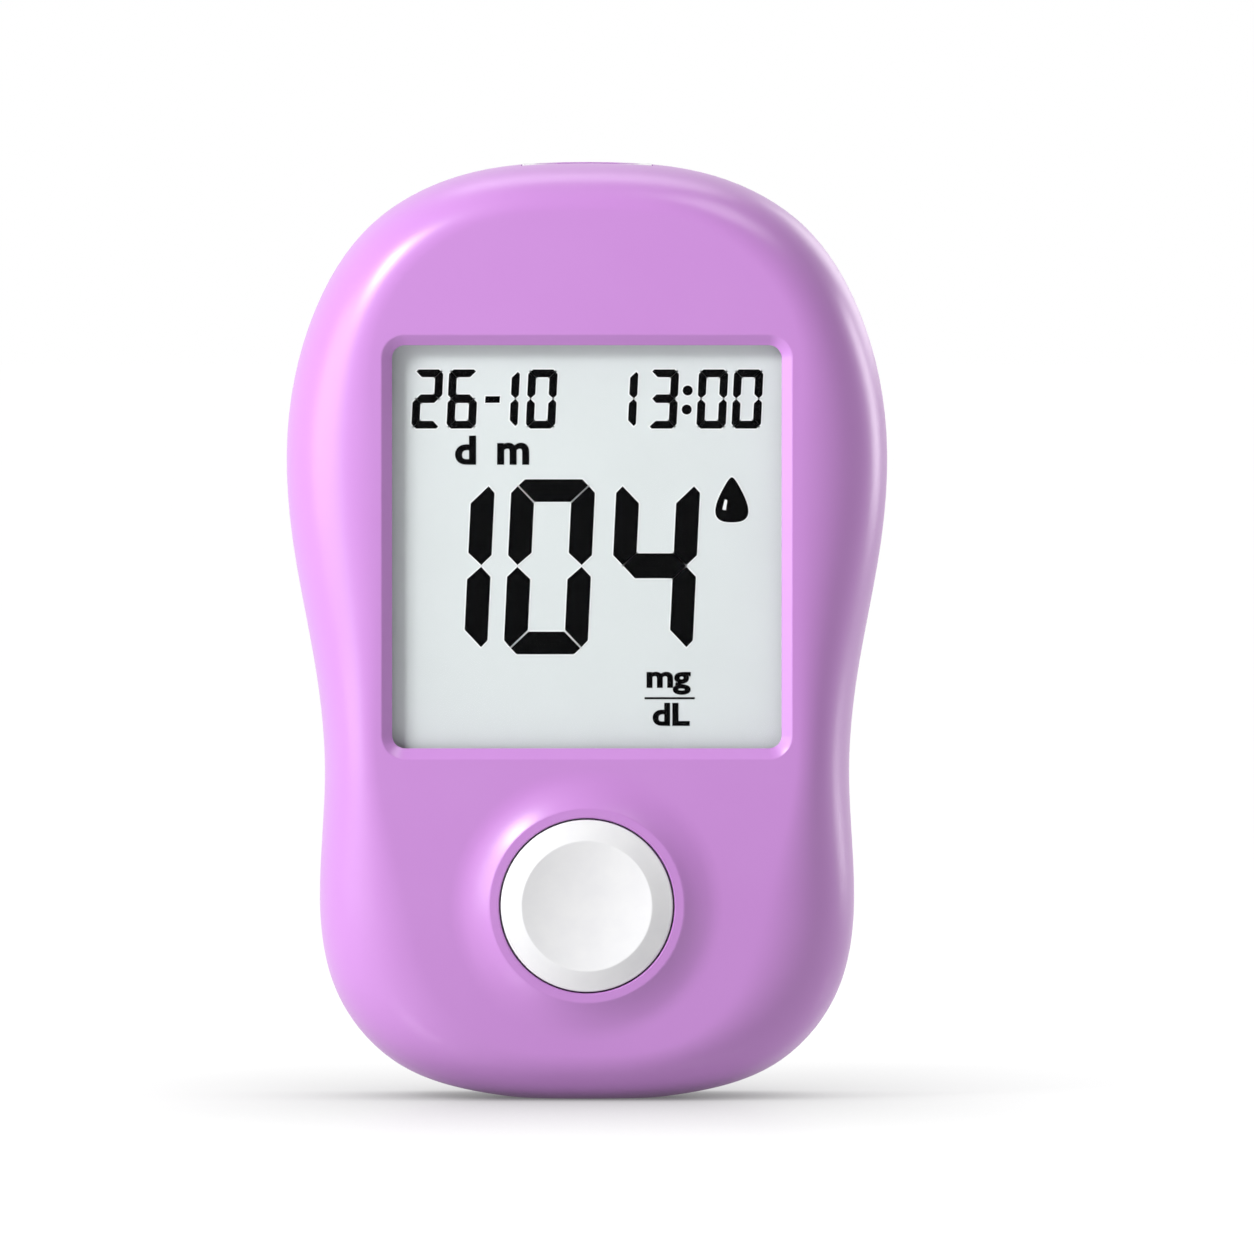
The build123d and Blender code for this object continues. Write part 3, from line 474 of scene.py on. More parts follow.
    def normal(self, x: float, y: float, z: float) -> Optional[Sequence[float]]:
        """Returns the net's normal, blended over the face that is nearest."""
        place, _, face, _ = self.tree.find_nearest(Vector((abs(x), y, z)), self.REACH)
        if place is None:
            return None
        corners = self.faces[face]
        weights = poly_3d_calc([self.points[c] for c in corners], place)
        normal = np.array(weights) @ self.normals[list(corners)]
        if x < 0:
            normal[0] = -normal[0]
        return normal / np.linalg.norm(normal)


@dataclass(frozen=True)
class TurnedForm(Form):
    """A surface turned about the button's axis, given by its profile and normals there."""

    axis_z: float
    profile: np.ndarray
    normals: np.ndarray
    reach: float = 0.06  # how far off the profile a point may lie

    def normal(self, x: float, y: float, z: float) -> Optional[Sequence[float]]:
        """Returns the normal of the profile's nearest sample, turned to the point."""
        rise = z - self.axis_z
        radius = np.hypot(x, rise)
        if radius >= self.profile[:, 0].max() + 1:
            return None
        away = np.hypot(self.profile[:, 0] - radius, self.profile[:, 1] - y)
        k = int(np.argmin(away))
        if away[k] > self.reach:
            return None
        out, ahead = self.normals[k]
        turn = (x / radius, rise / radius) if radius > 1e-6 else (0.0, 0.0)
        return (out * turn[0], ahead, out * turn[1])


def dish_profile(
    centre: Point, radius: float, start: float, end: float, count: int
) -> tuple[np.ndarray, np.ndarray]:
    """Samples the arc of a turned dish, with normals that point to its centre.

    Args:
        centre: The arc's centre as (radius, y).
        radius: The arc's radius.
        start: Angle where it starts, in radians.
        end: Angle where it ends.
        count: Number of samples.

    Returns:
        The points and the normals.
    """
    turns = np.linspace(start, end, count)
    rays = np.column_stack([np.cos(turns), np.sin(turns)])
    return np.array(centre) + radius * rays, -rays


def gathered(items: Sequence[object], name: str, width: int, kind: type) -> np.ndarray:
    """Reads an attribute of all of a mesh's items.

    Args:
        items: The mesh's loops, faces, vertices or normals.
        name: The attribute.
        width: How many numbers it has.
        kind: The numbers' type.

    Returns:
        A row for each item, or a plain array where the width is 1.
    """
    values = np.empty(len(items) * width, kind)
    items.foreach_get(name, values)
    return values.reshape(-1, width).astype(float) if width > 1 else values


def shade_by_forms(piece: Piece, forms: Iterable[Form], least: float) -> None:
    """Sets a mesh's corner normals from the true surfaces that it lies on.

    Args:
        piece: A mesh of triangles.
        forms: The surfaces; a later one wins.
        least: A face takes a surface's normal only if its own agrees by this cosine.
    """
    mesh = piece.data
    corner = gathered(mesh.corner_normals, "vector", 3, np.float32)
    owner = gathered(mesh.loops, "vertex_index", 1, np.int32)
    co = gathered(mesh.vertices, "co", 3, np.float32) / MM
    totals = gathered(mesh.polygons, "loop_total", 1, np.int32)
    flat = np.repeat(gathered(mesh.polygons, "normal", 3, np.float32), totals, axis=0)
    for form in forms:
        normal, has = form.normals_at(co)
        agrees = has[owner] & (np.sum(normal[owner] * flat, axis=1) > least)
        corner[agrees] = normal[owner][agrees]
    level = np.abs(flat[:, 1]) > LEVEL
    corner[level] = flat[level]
    mesh.normals_split_custom_set([tuple(n) for n in corner])


def moulded(
    node: str,
    name: str,
    body: Body,
    material: Material,
    forms: Iterable[Form] = (),
    least: float = 0.82,
    smooth_degrees: float = 28.0,
) -> Piece:
    """Makes a dressed copy of a CAD node, shaded by its true surfaces, that stands for the node.

    Args:
        node: The CAD node.
        name: The copy's name.
        body: The CAD body it moves with.
        material: Its finish.
        forms: The surfaces it lies on.
        least: How well a face has to agree with a surface, as a cosine.
        smooth_degrees: Edges that turn more than this stay sharp.

    Returns:
        The copy.
    """
    piece = merged_copy(node, name, smooth_degrees)
    shade_by_forms(piece, forms, least)
    return settle(piece, body, material)


# ---------------------------------------------------------------- finishes
TONE_STOPS = (0.3, 0.7)
BAND_SCALE = 0.314  # the wave texture's scale that gives one band to a unit


@dataclass(frozen=True)
class Finish:
    """A surface finish. The plain one is an even sheet with a faint mottle and a fine grain."""

    name: str
    colour: str
    shade: str
    roughness: float
    metallic: float = 0.0
    ior: float = 1.5
    mottle_mm: float = 2.0
    grain_mm: float = 0.2
    grain_height_mm: float = 0.002
    grain_strength: float = 0.2
    specular: float = 0.5

    def build(self) -> Material:
        """Makes the material."""
        material = bpy.data.materials.new(self.name)
        tree = emptied(material)
        shader = add_node(
            tree,
            "BsdfPrincipled",
            {
                "Base Color": linear(self.colour),
                "Roughness": self.roughness,
                "IOR": self.ior,
                "Metallic": self.metallic,
                "Specular IOR Level": self.specular,
            },
        )
        add_node(tree, "OutputMaterial", {"Surface": shader.outputs["BSDF"]})
        place = add_node(tree, "TexCoord").outputs["Object"]
        self.pattern(tree, shader, place)
        return material

    def pattern(self, tree: Tree, shader: Node, place: Socket) -> None:
        """Lets the colour wander a little towards its shade, and adds the grain.

        Args:
            tree: The material's tree.
            shader: Its Principled shader.
            place: Object coordinates.
        """
        cloud = noise(tree, place, self.mottle_mm, 3.0)
        tree.links.new(self._tone(tree, cloud), shader.inputs["Base Color"])
        self.grain(tree, shader, place)

    def _tone(self, tree: Tree, factor: Socket) -> Socket:
        """Returns the colour between the finish's two tones, as the factor says."""
        ramp = add_node(tree, "ValToRGB", {"Fac": factor})
        tones = zip(ramp.color_ramp.elements, TONE_STOPS, (self.shade, self.colour))
        for stop, position, colour in tones:
            stop.position = position
            stop.color = linear(colour)
        return ramp.outputs["Color"]

    def grain(self, tree: Tree, shader: Node, place: Socket) -> None:
        """Adds the fine relief of the surface."""
        grit = noise(tree, place, self.grain_mm, 2.0)
        raise_by(shader, grit, self.grain_height_mm, self.grain_strength)


@dataclass(frozen=True)
class ClearSheet(Finish):
    """A clear moulded or drawn sheet. Most light passes it straight, so it casts hardly a shadow."""

    presence: float = 0.06

    def pattern(self, tree: Tree, shader: Node, place: Socket) -> None:
        """Makes the sheet clear, and adds its faint ripple."""
        shader.inputs["Transmission Weight"].default_value = 1.0
        shader.inputs["Alpha"].default_value = self.presence
        self.grain(tree, shader, place)


@dataclass(frozen=True)
class DrawnMetal(Finish):
    """Rolled or drawn metal: fine lines run along it, so its gloss is a little uneven."""

    line_mm: float = 0.25
    stretch: Sequence[float] = (1.0, 1.0, 0.06)
    gloss_spread: Point = (0.8, 1.25)

    def pattern(self, tree: Tree, shader: Node, place: Socket) -> None:
        """Adds drawn lines to the colour, the gloss and the relief."""
        along = add_node(tree, "Mapping", {"Vector": place, "Scale": self.stretch})
        lines = noise(tree, along.outputs["Vector"], self.line_mm, 4.0)
        tree.links.new(self._tone(tree, lines), shader.inputs["Base Color"])
        least, most = self.gloss_spread
        gloss = ranged(tree, lines, end=(self.roughness * least, self.roughness * most))
        tree.links.new(gloss, shader.inputs["Roughness"])
        self.grain(tree, shader, place)


@dataclass(frozen=True)
class SoftRubber(Finish):
    """Moulded silicone: light goes a little way in, so it looks milky."""

    glow_mm: float = 0.8
    glow_share: float = 0.4

    def pattern(self, tree: Tree, shader: Node, place: Socket) -> None:
        """Adds the milky depth, the mottle and the grain."""
        shader.inputs["Subsurface Weight"].default_value = self.glow_share
        shader.inputs["Subsurface Scale"].default_value = self.glow_mm * MM
        super().pattern(tree, shader, place)


@dataclass(frozen=True)
class StripedElastomer(Finish):
    """Layered elastomer: conducting and plain layers take turns across the case."""

    pitch_mm: float = 0.4  # the real layers are about 0.1 mm, too fine to show

    def pattern(self, tree: Tree, shader: Node, place: Socket) -> None:
        """Adds the layers and the grain."""
        layers = add_node(
            tree,
            "TexWave",
            {"Vector": place, "Scale": BAND_SCALE / (self.pitch_mm * MM)},
            wave_type="BANDS",
            bands_direction="X",
        )
        tree.links.new(self._tone(tree, layers.outputs["Fac"]), shader.inputs["Base Color"])
        self.grain(tree, shader, place)


@dataclass(frozen=True)
class BoardLaminate(Finish):
    """Solder mask over copper: lighter, slightly raised tracks on a dark green ground."""

    track_mm: float = 2.6
    track_edge: Point = (0.08, 0.12)
    copper_mm: float = 0.035

    def pattern(self, tree: Tree, shader: Node, place: Socket) -> None:
        """Adds the tracks as colour and as relief."""
        cells = add_node(
            tree,
            "TexVoronoi",
            {"Vector": place, "Scale": 1 / (self.track_mm * MM)},
            feature="DISTANCE_TO_EDGE",
        )
        tracks = ranged(tree, cells.outputs["Distance"], self.track_edge)
        tree.links.new(self._tone(tree, tracks), shader.inputs["Base Color"])
        raise_by(shader, tracks, self.copper_mm, 0.6, invert=True)


@dataclass(frozen=True)
class LeadedChip(Finish):
    """Black moulded epoxy with tinned leads round it: what lies outside the body is metal."""

    centre: Point = (0.0, 0.0)
    half_x: float = 3.5
    half_z: float = 3.5
    tin: str = "#C9CBCC"
    skin: float = 0.005

    def pattern(self, tree: Tree, shader: Node, place: Socket) -> None:
        """Splits body from leads by their place across and up the board."""
        split = add_node(tree, "SeparateXYZ", {"Vector": place})
        sides = (("X", self.centre[0], self.half_x), ("Z", self.centre[1], self.half_z))
        outside = []
        for axis, middle, half in sides:
            away = maths(tree, "SUBTRACT", split.outputs[axis], middle * MM)
            away = maths(tree, "ABSOLUTE", away)
            outside.append(maths(tree, "GREATER_THAN", away, (half + self.skin) * MM))
        lead = maths(tree, "MAXIMUM", *outside)
        ramp = add_node(tree, "ValToRGB", {"Fac": lead})
        ramp.color_ramp.elements[0].color = linear(self.colour)
        ramp.color_ramp.elements[1].color = linear(self.tin)
        tree.links.new(ramp.outputs["Color"], shader.inputs["Base Color"])
        tree.links.new(lead, shader.inputs["Metallic"])
        self.grain(tree, shader, place)


@dataclass(frozen=True)
class CellJacket(Finish):
    """A cell in its plain printed sleeve: steel ends, a dark sleeve and a band at the plus end."""

    minus_z: float = 0.0
    plus_z: float = 44.5
    sleeve: str = "#2B2F36"
    band: str = "#C98A4B"

    def pattern(self, tree: Tree, shader: Node, place: Socket) -> None:
        """Bands the cell along its length."""
        split = add_node(tree, "SeparateXYZ", {"Vector": place})
        along = ranged(tree, split.outputs["Z"], (self.minus_z * MM, self.plus_z * MM))
        steps = ((0.0, self.colour), (0.012, self.sleeve), (0.72, self.band), (0.965, self.colour))
        tints = add_node(tree, "ValToRGB", {"Fac": along})
        metal = add_node(tree, "ValToRGB", {"Fac": along})
        for ramp in (tints, metal):
            ramp.color_ramp.interpolation = "CONSTANT"
            for _ in steps[2:]:
                ramp.color_ramp.elements.new(0.5)
        for i, (position, colour) in enumerate(steps):
            is_steel = 1.0 if colour == self.colour else 0.0
            tints.color_ramp.elements[i].position = position
            tints.color_ramp.elements[i].color = linear(colour)
            metal.color_ramp.elements[i].position = position
            metal.color_ramp.elements[i].color = (is_steel, is_steel, is_steel, 1)
        tree.links.new(tints.outputs["Color"], shader.inputs["Base Color"])
        tree.links.new(metal.outputs["Color"], shader.inputs["Metallic"])
        self.grain(tree, shader, place)


# Moulded ABS with a spark-eroded satin skin: soft broad highlights, even lilac.
CASE_ABS = Finish(
    "case_abs_lilac", "#C889D6", "#C787D5", 0.32, ior=1.53, mottle_mm=8.0, grain_mm=0.3, specular=0.65
)
# Polished white ABS: a crisp highlight on the button's ring.
WHITE_ABS = Finish("button_abs_white", "#F4F4F5", "#F0F0F2", 0.26, grain_mm=0.5, ior=1.53)
PORT_ABS = Finish("port_abs_white", "#EFEDF0", "#E9E7EB", 0.36, grain_mm=0.3, ior=1.53)
NYLON = Finish("connector_nylon", "#E9E4D8", "#E2DCCD", 0.5, grain_mm=0.25)
# Cast acrylic, polished both sides.
ACRYLIC = ClearSheet(
    "lens_acrylic", "#FFFFFF", "#FFFFFF", 0.0, ior=1.49, grain_mm=6.0, grain_strength=0.02
)
SHEET_GLASS = ClearSheet(
    "display_glass", "#F4FAF7", "#F4FAF7", 0.0, ior=1.52, grain_mm=6.0, grain_strength=0.02,
    presence=0.3,
)
# Foam tape: matt black, open texture.
FOAM_TAPE = Finish("foam_tape_black", "#1B1B1D", "#242427", 0.85, grain_mm=0.15, grain_strength=0.6)
# Polariser film with the reflective film's pale grey-green behind it: matt, fine.
POLARISER = Finish(
    "polariser_film", "#E2E9E9", "#E0E7E7", 0.6, mottle_mm=6.0, grain_mm=0.12, grain_strength=0.3,
    specular=0.1,
)
# Display segments: the liquid crystal's black, and a painted highlight, which is a pale rim round each
# segment. The pale colour also draws the drop sign's shine mark.
SEGMENT_BLACK = Finish("segment_black", "#040405", "#060607", 0.6, grain_mm=0.15, specular=0.0)
SEGMENT_PAINTED_RIM_AND_PRINT = Finish("segment_painted_rim_and_print", "#F8FCFC", "#F6FAFA", 0.6, grain_mm=0.15, specular=0.1)
REFLECTOR = DrawnMetal("reflector_film", "#C9CED0", "#BFC5C8", 0.3, metallic=1.0)
HOLDER_ABS = Finish("holder_abs_white", "#E8E8EA", "#E2E2E5", 0.45)
ZEBRA = StripedElastomer("striped_elastomer", "#D9B7BC", "#2B2526", 0.6)
SILICONE = SoftRubber("dome_silicone", "#E6E6E2", "#DEDED9", 0.5, ior=1.41, grain_mm=0.3)
CARBON = Finish("carbon_pill", "#1A1A1A", "#222222", 0.7, grain_mm=0.1, grain_strength=0.5)
BOARD = BoardLaminate("board_green_mask", "#1F6A43", "#174F33", 0.35, ior=1.55)
BUZZER_PLASTIC = Finish("buzzer_black", "#191A1B", "#202122", 0.45, grain_mm=0.2)
CERAMIC_TAN = Finish("capacitor_ceramic", "#B39B7E", "#A48C70", 0.5, grain_mm=0.1)
CERAMIC_BLACK = Finish("resistor_ceramic", "#17181A", "#242629", 0.45, grain_mm=0.1)
NICKEL = DrawnMetal("nickel_plate", "#C6C3BC", "#B8B4AC", 0.25, metallic=1.0)
SPRING_STEEL = DrawnMetal("zinc_steel", "#B9BBBE", "#A5A8AC", 0.32, metallic=1.0, line_mm=0.15)
GOLD = DrawnMetal("gold_plate", "#E0B457", "#D2A245", 0.2, metallic=1.0, line_mm=0.1)


# ---------------------------------------------------------------- case
@dataclass
class CaseShells:
    """The two shells, shaded by their true surfaces, and the battery door, shaded smooth by angle."""

    face_y: float = -9.8
    groove_y: float = -0.3
    back_y: float = 12.0
    front_fullness: float = 2.1
    rear_fullness: float = 2.6
    rear_roll: float = 0.85
    button_z: float = 19.6
    collar_radius: float = 9.75
    collar_rise: float = 1.4
    collar_edge: float = 0.15
    flare_width: float = 4.6
    flare_sink: float = 0.03
    flare_fade: float = 0.16  # radians over which the flare leaves the flat face
    flare_steps: int = 240
    rim_steps: int = 60

    def collar_form(self) -> TurnedForm:
        """Returns the flare and the rounded rim round the button."""
        run, rise = self.flare_width, self.collar_rise
        radius = (run**2 + rise**2) / (2 * rise)
        foot = (self.collar_radius + run, self.face_y + self.flare_sink)
        turn = math.asin(run / radius) - self.collar_edge / radius
        angles = np.linspace(0.0, turn, self.flare_steps)
        flare = np.column_stack(
            [foot[0] - radius * np.sin(angles), foot[1] - radius * (1 - np.cos(angles))]
        )
        meets = math.acos(1 - self.flare_sink / radius)
        fade = np.clip((angles - meets) / self.flare_fade, 0, 1)
        lean = angles * fade * fade * (3 - 2 * fade)
        flare_normals = np.column_stack([np.sin(lean), -np.cos(lean)])
        top = self.face_y - rise
        crest = flare[-1]
        corner = np.array([crest[0] - (crest[1] - top) / math.tan(turn), top])
        rim = np.array([self.collar_radius - self.collar_edge, top])
        u = np.linspace(0, 1, self.rim_steps)[:, None]
        bend = (1 - u) ** 2 * crest + 2 * u * (1 - u) * corner + u**2 * rim
        slope = 2 * (1 - u) * (corner - crest) + 2 * u * (rim - corner)
        slope /= np.linalg.norm(slope, axis=1)[:, None]
        bend_normals = np.column_stack([-slope[:, 1], slope[:, 0]])
        return TurnedForm(
            self.button_z, np.vstack([flare, bend]), np.vstack([flare_normals, bend_normals])
        )

    def build(self) -> None:
        """Makes and dresses the shells and the door."""
        lilac = CASE_ABS.build()
        face = PebbleForm(self.groove_y, self.face_y, self.front_fullness, 1.0)
        back = PebbleForm(0.0, self.back_y, self.rear_fullness, self.rear_roll)
        for node, name, body, forms in (
            ("front_cover", "front_shell_moulding", Body.HOUSING, (face, self.collar_form())),
            ("rear_cover", "rear_shell_moulding", Body.HOUSING, (back,)),
            ("battery_door", "battery_door_moulding", Body.DOOR, ()),
        ):
            moulded(node, name, body, lilac, forms)


# ---------------------------------------------------------------- button
@dataclass
class PushButton:
    """The white button: a shallow dish inside a bevelled ring."""

    button_z: float = 19.6
    side_y: float = -11.3
    crest_y: float = -12.0
    radius: float = 8.58
    dish_radius: float = 6.5
    dish_depth: float = 0.85
    edge: float = 0.25
    crest_reach: float = 0.10  # half width of the rounding between dish and ring
    travel: float = 1.0  # how far the button goes in; in the real meter this flattens the dome by as much
    dish_steps: int = 400
    ring_steps: int = 120

    def face_form(self) -> TurnedForm:
        """Returns the dish, the ring and the ring's rounded outer edge."""
        sphere = (self.dish_radius**2 + self.dish_depth**2) / (2 * self.dish_depth)
        bottom = self.crest_y + self.dish_depth
        half = math.asin(self.dish_radius / sphere)
        dish, dish_normals = dish_profile(
            (0.0, bottom - sphere), sphere, math.pi / 2 - half, math.pi / 2, self.dish_steps
        )
        ring_end = (self.radius - self.edge, self.side_y)
        steps = np.linspace(0, 1, self.ring_steps)[:, None]
        ring = np.array([self.dish_radius, self.crest_y]) * (1 - steps) + np.array(ring_end) * steps
        run = np.array(ring_end) - np.array([self.dish_radius, self.crest_y])
        run /= np.linalg.norm(run)
        ring_normals = np.repeat([[run[1], -run[0]]], len(ring), axis=0)
        profile = np.vstack([dish, ring])
        normals = np.vstack([dish_normals, ring_normals])
        away = profile[:, 0] - self.dish_radius
        near = np.abs(away) < self.crest_reach
        share = (away[near] / self.crest_reach + 1) / 2
        blend = (1 - share)[:, None] * dish_normals[0] + share[:, None] * ring_normals[0]
        normals[near] = blend / np.linalg.norm(blend, axis=1)[:, None]
        return TurnedForm(self.button_z, profile, normals)

    def build(self) -> None:
        """Makes and dresses the button, and dresses what lies under it."""
        moulded(
            "main_button", "push_button_cap", Body.BUTTON, WHITE_ABS.build(),
            (self.face_form(),), least=0.97, smooth_degrees=32.0,
        )
        silicone = SILICONE.build()
        dome = moulded("button_dome", "silicone_dome", Body.HOUSING, silicone)
        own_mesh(dome)
        dress_nodes({"carbon_pill": CARBON.build()})


# ---------------------------------------------------------------- display
class Bar(Enum):
    """The seven bars of a digit."""

    TOP = "a"
    UPPER_RIGHT = "b"
    LOWER_RIGHT = "c"
    BOTTOM = "d"
    LOWER_LEFT = "e"
    UPPER_LEFT = "f"
    MIDDLE = "g"


DIGIT_BARS = {"0": "abcdef", "1": "bc", "2": "abged", "3": "abgcd", "4": "fgbc", "6": "afgcde"}


@dataclass(frozen=True)
class DigitStyle:
    """The size of a row of seven-bar digits."""

    width: float
    height: float
    stroke: float
    slant: float = 0.048
    waist: float = 0.495

    def bar(self, bar: Bar) -> list[Point]:
        """Returns a bar's outline from the digit's upper left corner, with depth downwards."""
        w, h, s = self.width, self.height, self.stroke
        m = h * self.waist
        top = self._level([(0.31, 0.26), (0.57, 0.0)], [(1.03, 0.97)], 0.0)
        middle = self._level([(0.46, 0.0), (0.98, -0.54)], [(0.98, 0.53)], m)
        side = [(0.265 * s, 0.30 * s), (0.0, 0.585 * s), (0.0, m - 0.46 * s)]
        side += [(0.42 * s, m - 0.04 * s), (s, m - 0.56 * s), (s, 1.03 * s)]
        low_side = [(x, m + (m - y) * (h - m) / m) for x, y in side]
        shapes = {
            Bar.TOP: top,
            Bar.BOTTOM: [(x, h - y) for x, y in top],
            Bar.UPPER_LEFT: side,
            Bar.LOWER_LEFT: low_side,
            Bar.UPPER_RIGHT: [(w - x, y) for x, y in side],
            Bar.LOWER_RIGHT: [(w - x, y) for x, y in low_side],
            Bar.MIDDLE: middle,
        }
        return [(x - self.slant * y, y) for x, y in shapes[bar]]

    def _level(self, above: list[Point], below: list[Point], depth: float) -> list[Point]:
        """Returns a level bar's outline.

        Args:
            above: Its upper left corners, in strokes.
            below: Its lower left corners.
            depth: How deep it lies.

        Returns:
            All its corners.
        """
        sides = [[(x * self.stroke, y * self.stroke + depth) for x, y in c] for c in (above, below)]
        flips = [[(self.width - x, y) for x, y in reversed(side)] for side in sides]
        return sides[0] + flips[0] + flips[1] + sides[1]

    def outlines(self, digit: str, left: float, top: float) -> list[list[Point]]:
        """Lays a digit out.

        Args:
            digit: The digit.
            left: Where its upper left corner is across the case.
            top: How high its top is.

        Returns:
            An outline of (x, z) for each of its bars.
        """
        bars = [self.bar(Bar(letter)) for letter in DIGIT_BARS[digit]]
        return [[(left + x, top - y) for x, y in bar] for bar in bars]


def grown(outline: Sequence[Point], by: float) -> list[Point]:
    """Moves an outline's edges outwards.

    Args:
        outline: Corners in order.
        by: How far.

    Returns:
        The new corners.
    """
    points = [Vector(p) for p in outline]
    following = points[1:] + points[:1]
    area = sum(a.x * b.y - b.x * a.y for a, b in zip(points, following))
    side = 1 if area > 0 else -1
    least_miter, most_miter = 0.3, 2
    result = []
    for before, here, after in zip(points[-1:] + points[:-1], points, following):
        into, out = (here - before).normalized(), (after - here).normalized()
        first = Vector((into.y, -into.x)) * side
        second = Vector((out.y, -out.x)) * side
        miter = (first + second).normalized()
        moved = here + miter * min(by / max(miter.dot(first), least_miter), by * most_miter)
        result.append((moved.x, moved.y))
    return result


def circle(centre: Point, radius: float, count: int = 28) -> list[Point]:
    """Returns a circle's outline."""
    turns = [2 * math.pi * i / count for i in range(count)]
    return [(centre[0] + radius * math.cos(t), centre[1] + radius * math.sin(t)) for t in turns]


def drop(centre_x: float, bottom: float, top: float, radius: float, count: int = 40) -> list[Point]:
    """Returns a drop's outline: a round foot drawn up to a point."""
    narrowing, taper, swell, stretch = 0.62, 1.6, 1.12, 1.35
    outline = []
    for i in range(count):
        turn = 2 * math.pi * i / count
        lift = (1 + math.cos(turn)) / 2
        x = radius * math.sin(turn) * (1 - narrowing * lift**taper) * swell
        outline.append((centre_x + x, bottom + (top - bottom) * lift**stretch))
    return outline


def plates(name: str, outlines: Sequence[Sequence[Point]], y: float, thick: float) -> Piece:
    """Makes flat plates that face the front, as one piece.

    Args:
        name: The piece's name.
        outlines: Each plate's corners as (x, z).
        y: Depth of their backs.
        thick: Their thickness.

    Returns:
        The piece.
    """
    made = []
    forwards = {"value": (0, -thick * MM, 0)}
    for outline in outlines:
        bpy.ops.mesh.primitive_circle_add(vertices=len(outline), radius=MM, fill_type="NGON")
        plate = bpy.context.object
        for vertex, (x, z) in zip(plate.data.vertices, outline):
            vertex.co = (x * MM, y * MM, z * MM)
        rework(
            plate,
            lambda: bpy.ops.mesh.extrude_region_move(TRANSFORM_OT_translate=forwards),
            face_outwards,
        )
        made.append(plate)
    return joined(made, name)


def lettering(name: str, text: str, box: Sequence[float], y: float, thick: float, bold: float) -> Piece:
    """Makes a unit's letters as a flat mesh that fills a box.

    Args:
        name: The piece's name.
        text: The letters.
        box: Left, right, bottom and top.
        y: Depth of the back.
        thick: Thickness.
        bold: How much the strokes are widened, as a share of the letter size.

    Returns:
        The piece.
    """
    bpy.ops.object.select_all(action="DESELECT")
    bpy.ops.object.text_add()
    words = bpy.context.object
    words.data.body = text
    words.data.offset = bold
    words.data.extrude = 0.02
    words.data.resolution_u = 6
    pick(words)
    bpy.ops.object.convert(target="MESH")
    words = bpy.context.object
    co = np.array([v.co for v in words.data.vertices])
    low, high = co.min(0), co.max(0)
    left, right, bottom, top = box
    span = high - low
    for vertex in words.data.vertices:
        share = (np.array(vertex.co) - low) / span
        vertex.co = (
            (left + share[0] * (right - left)) * MM,
            (y - share[2] * thick) * MM,
            (bottom + share[1] * (top - bottom)) * MM,
        )
    rework(words, weld(0.001), face_outwards)
    words.name = name
    return words


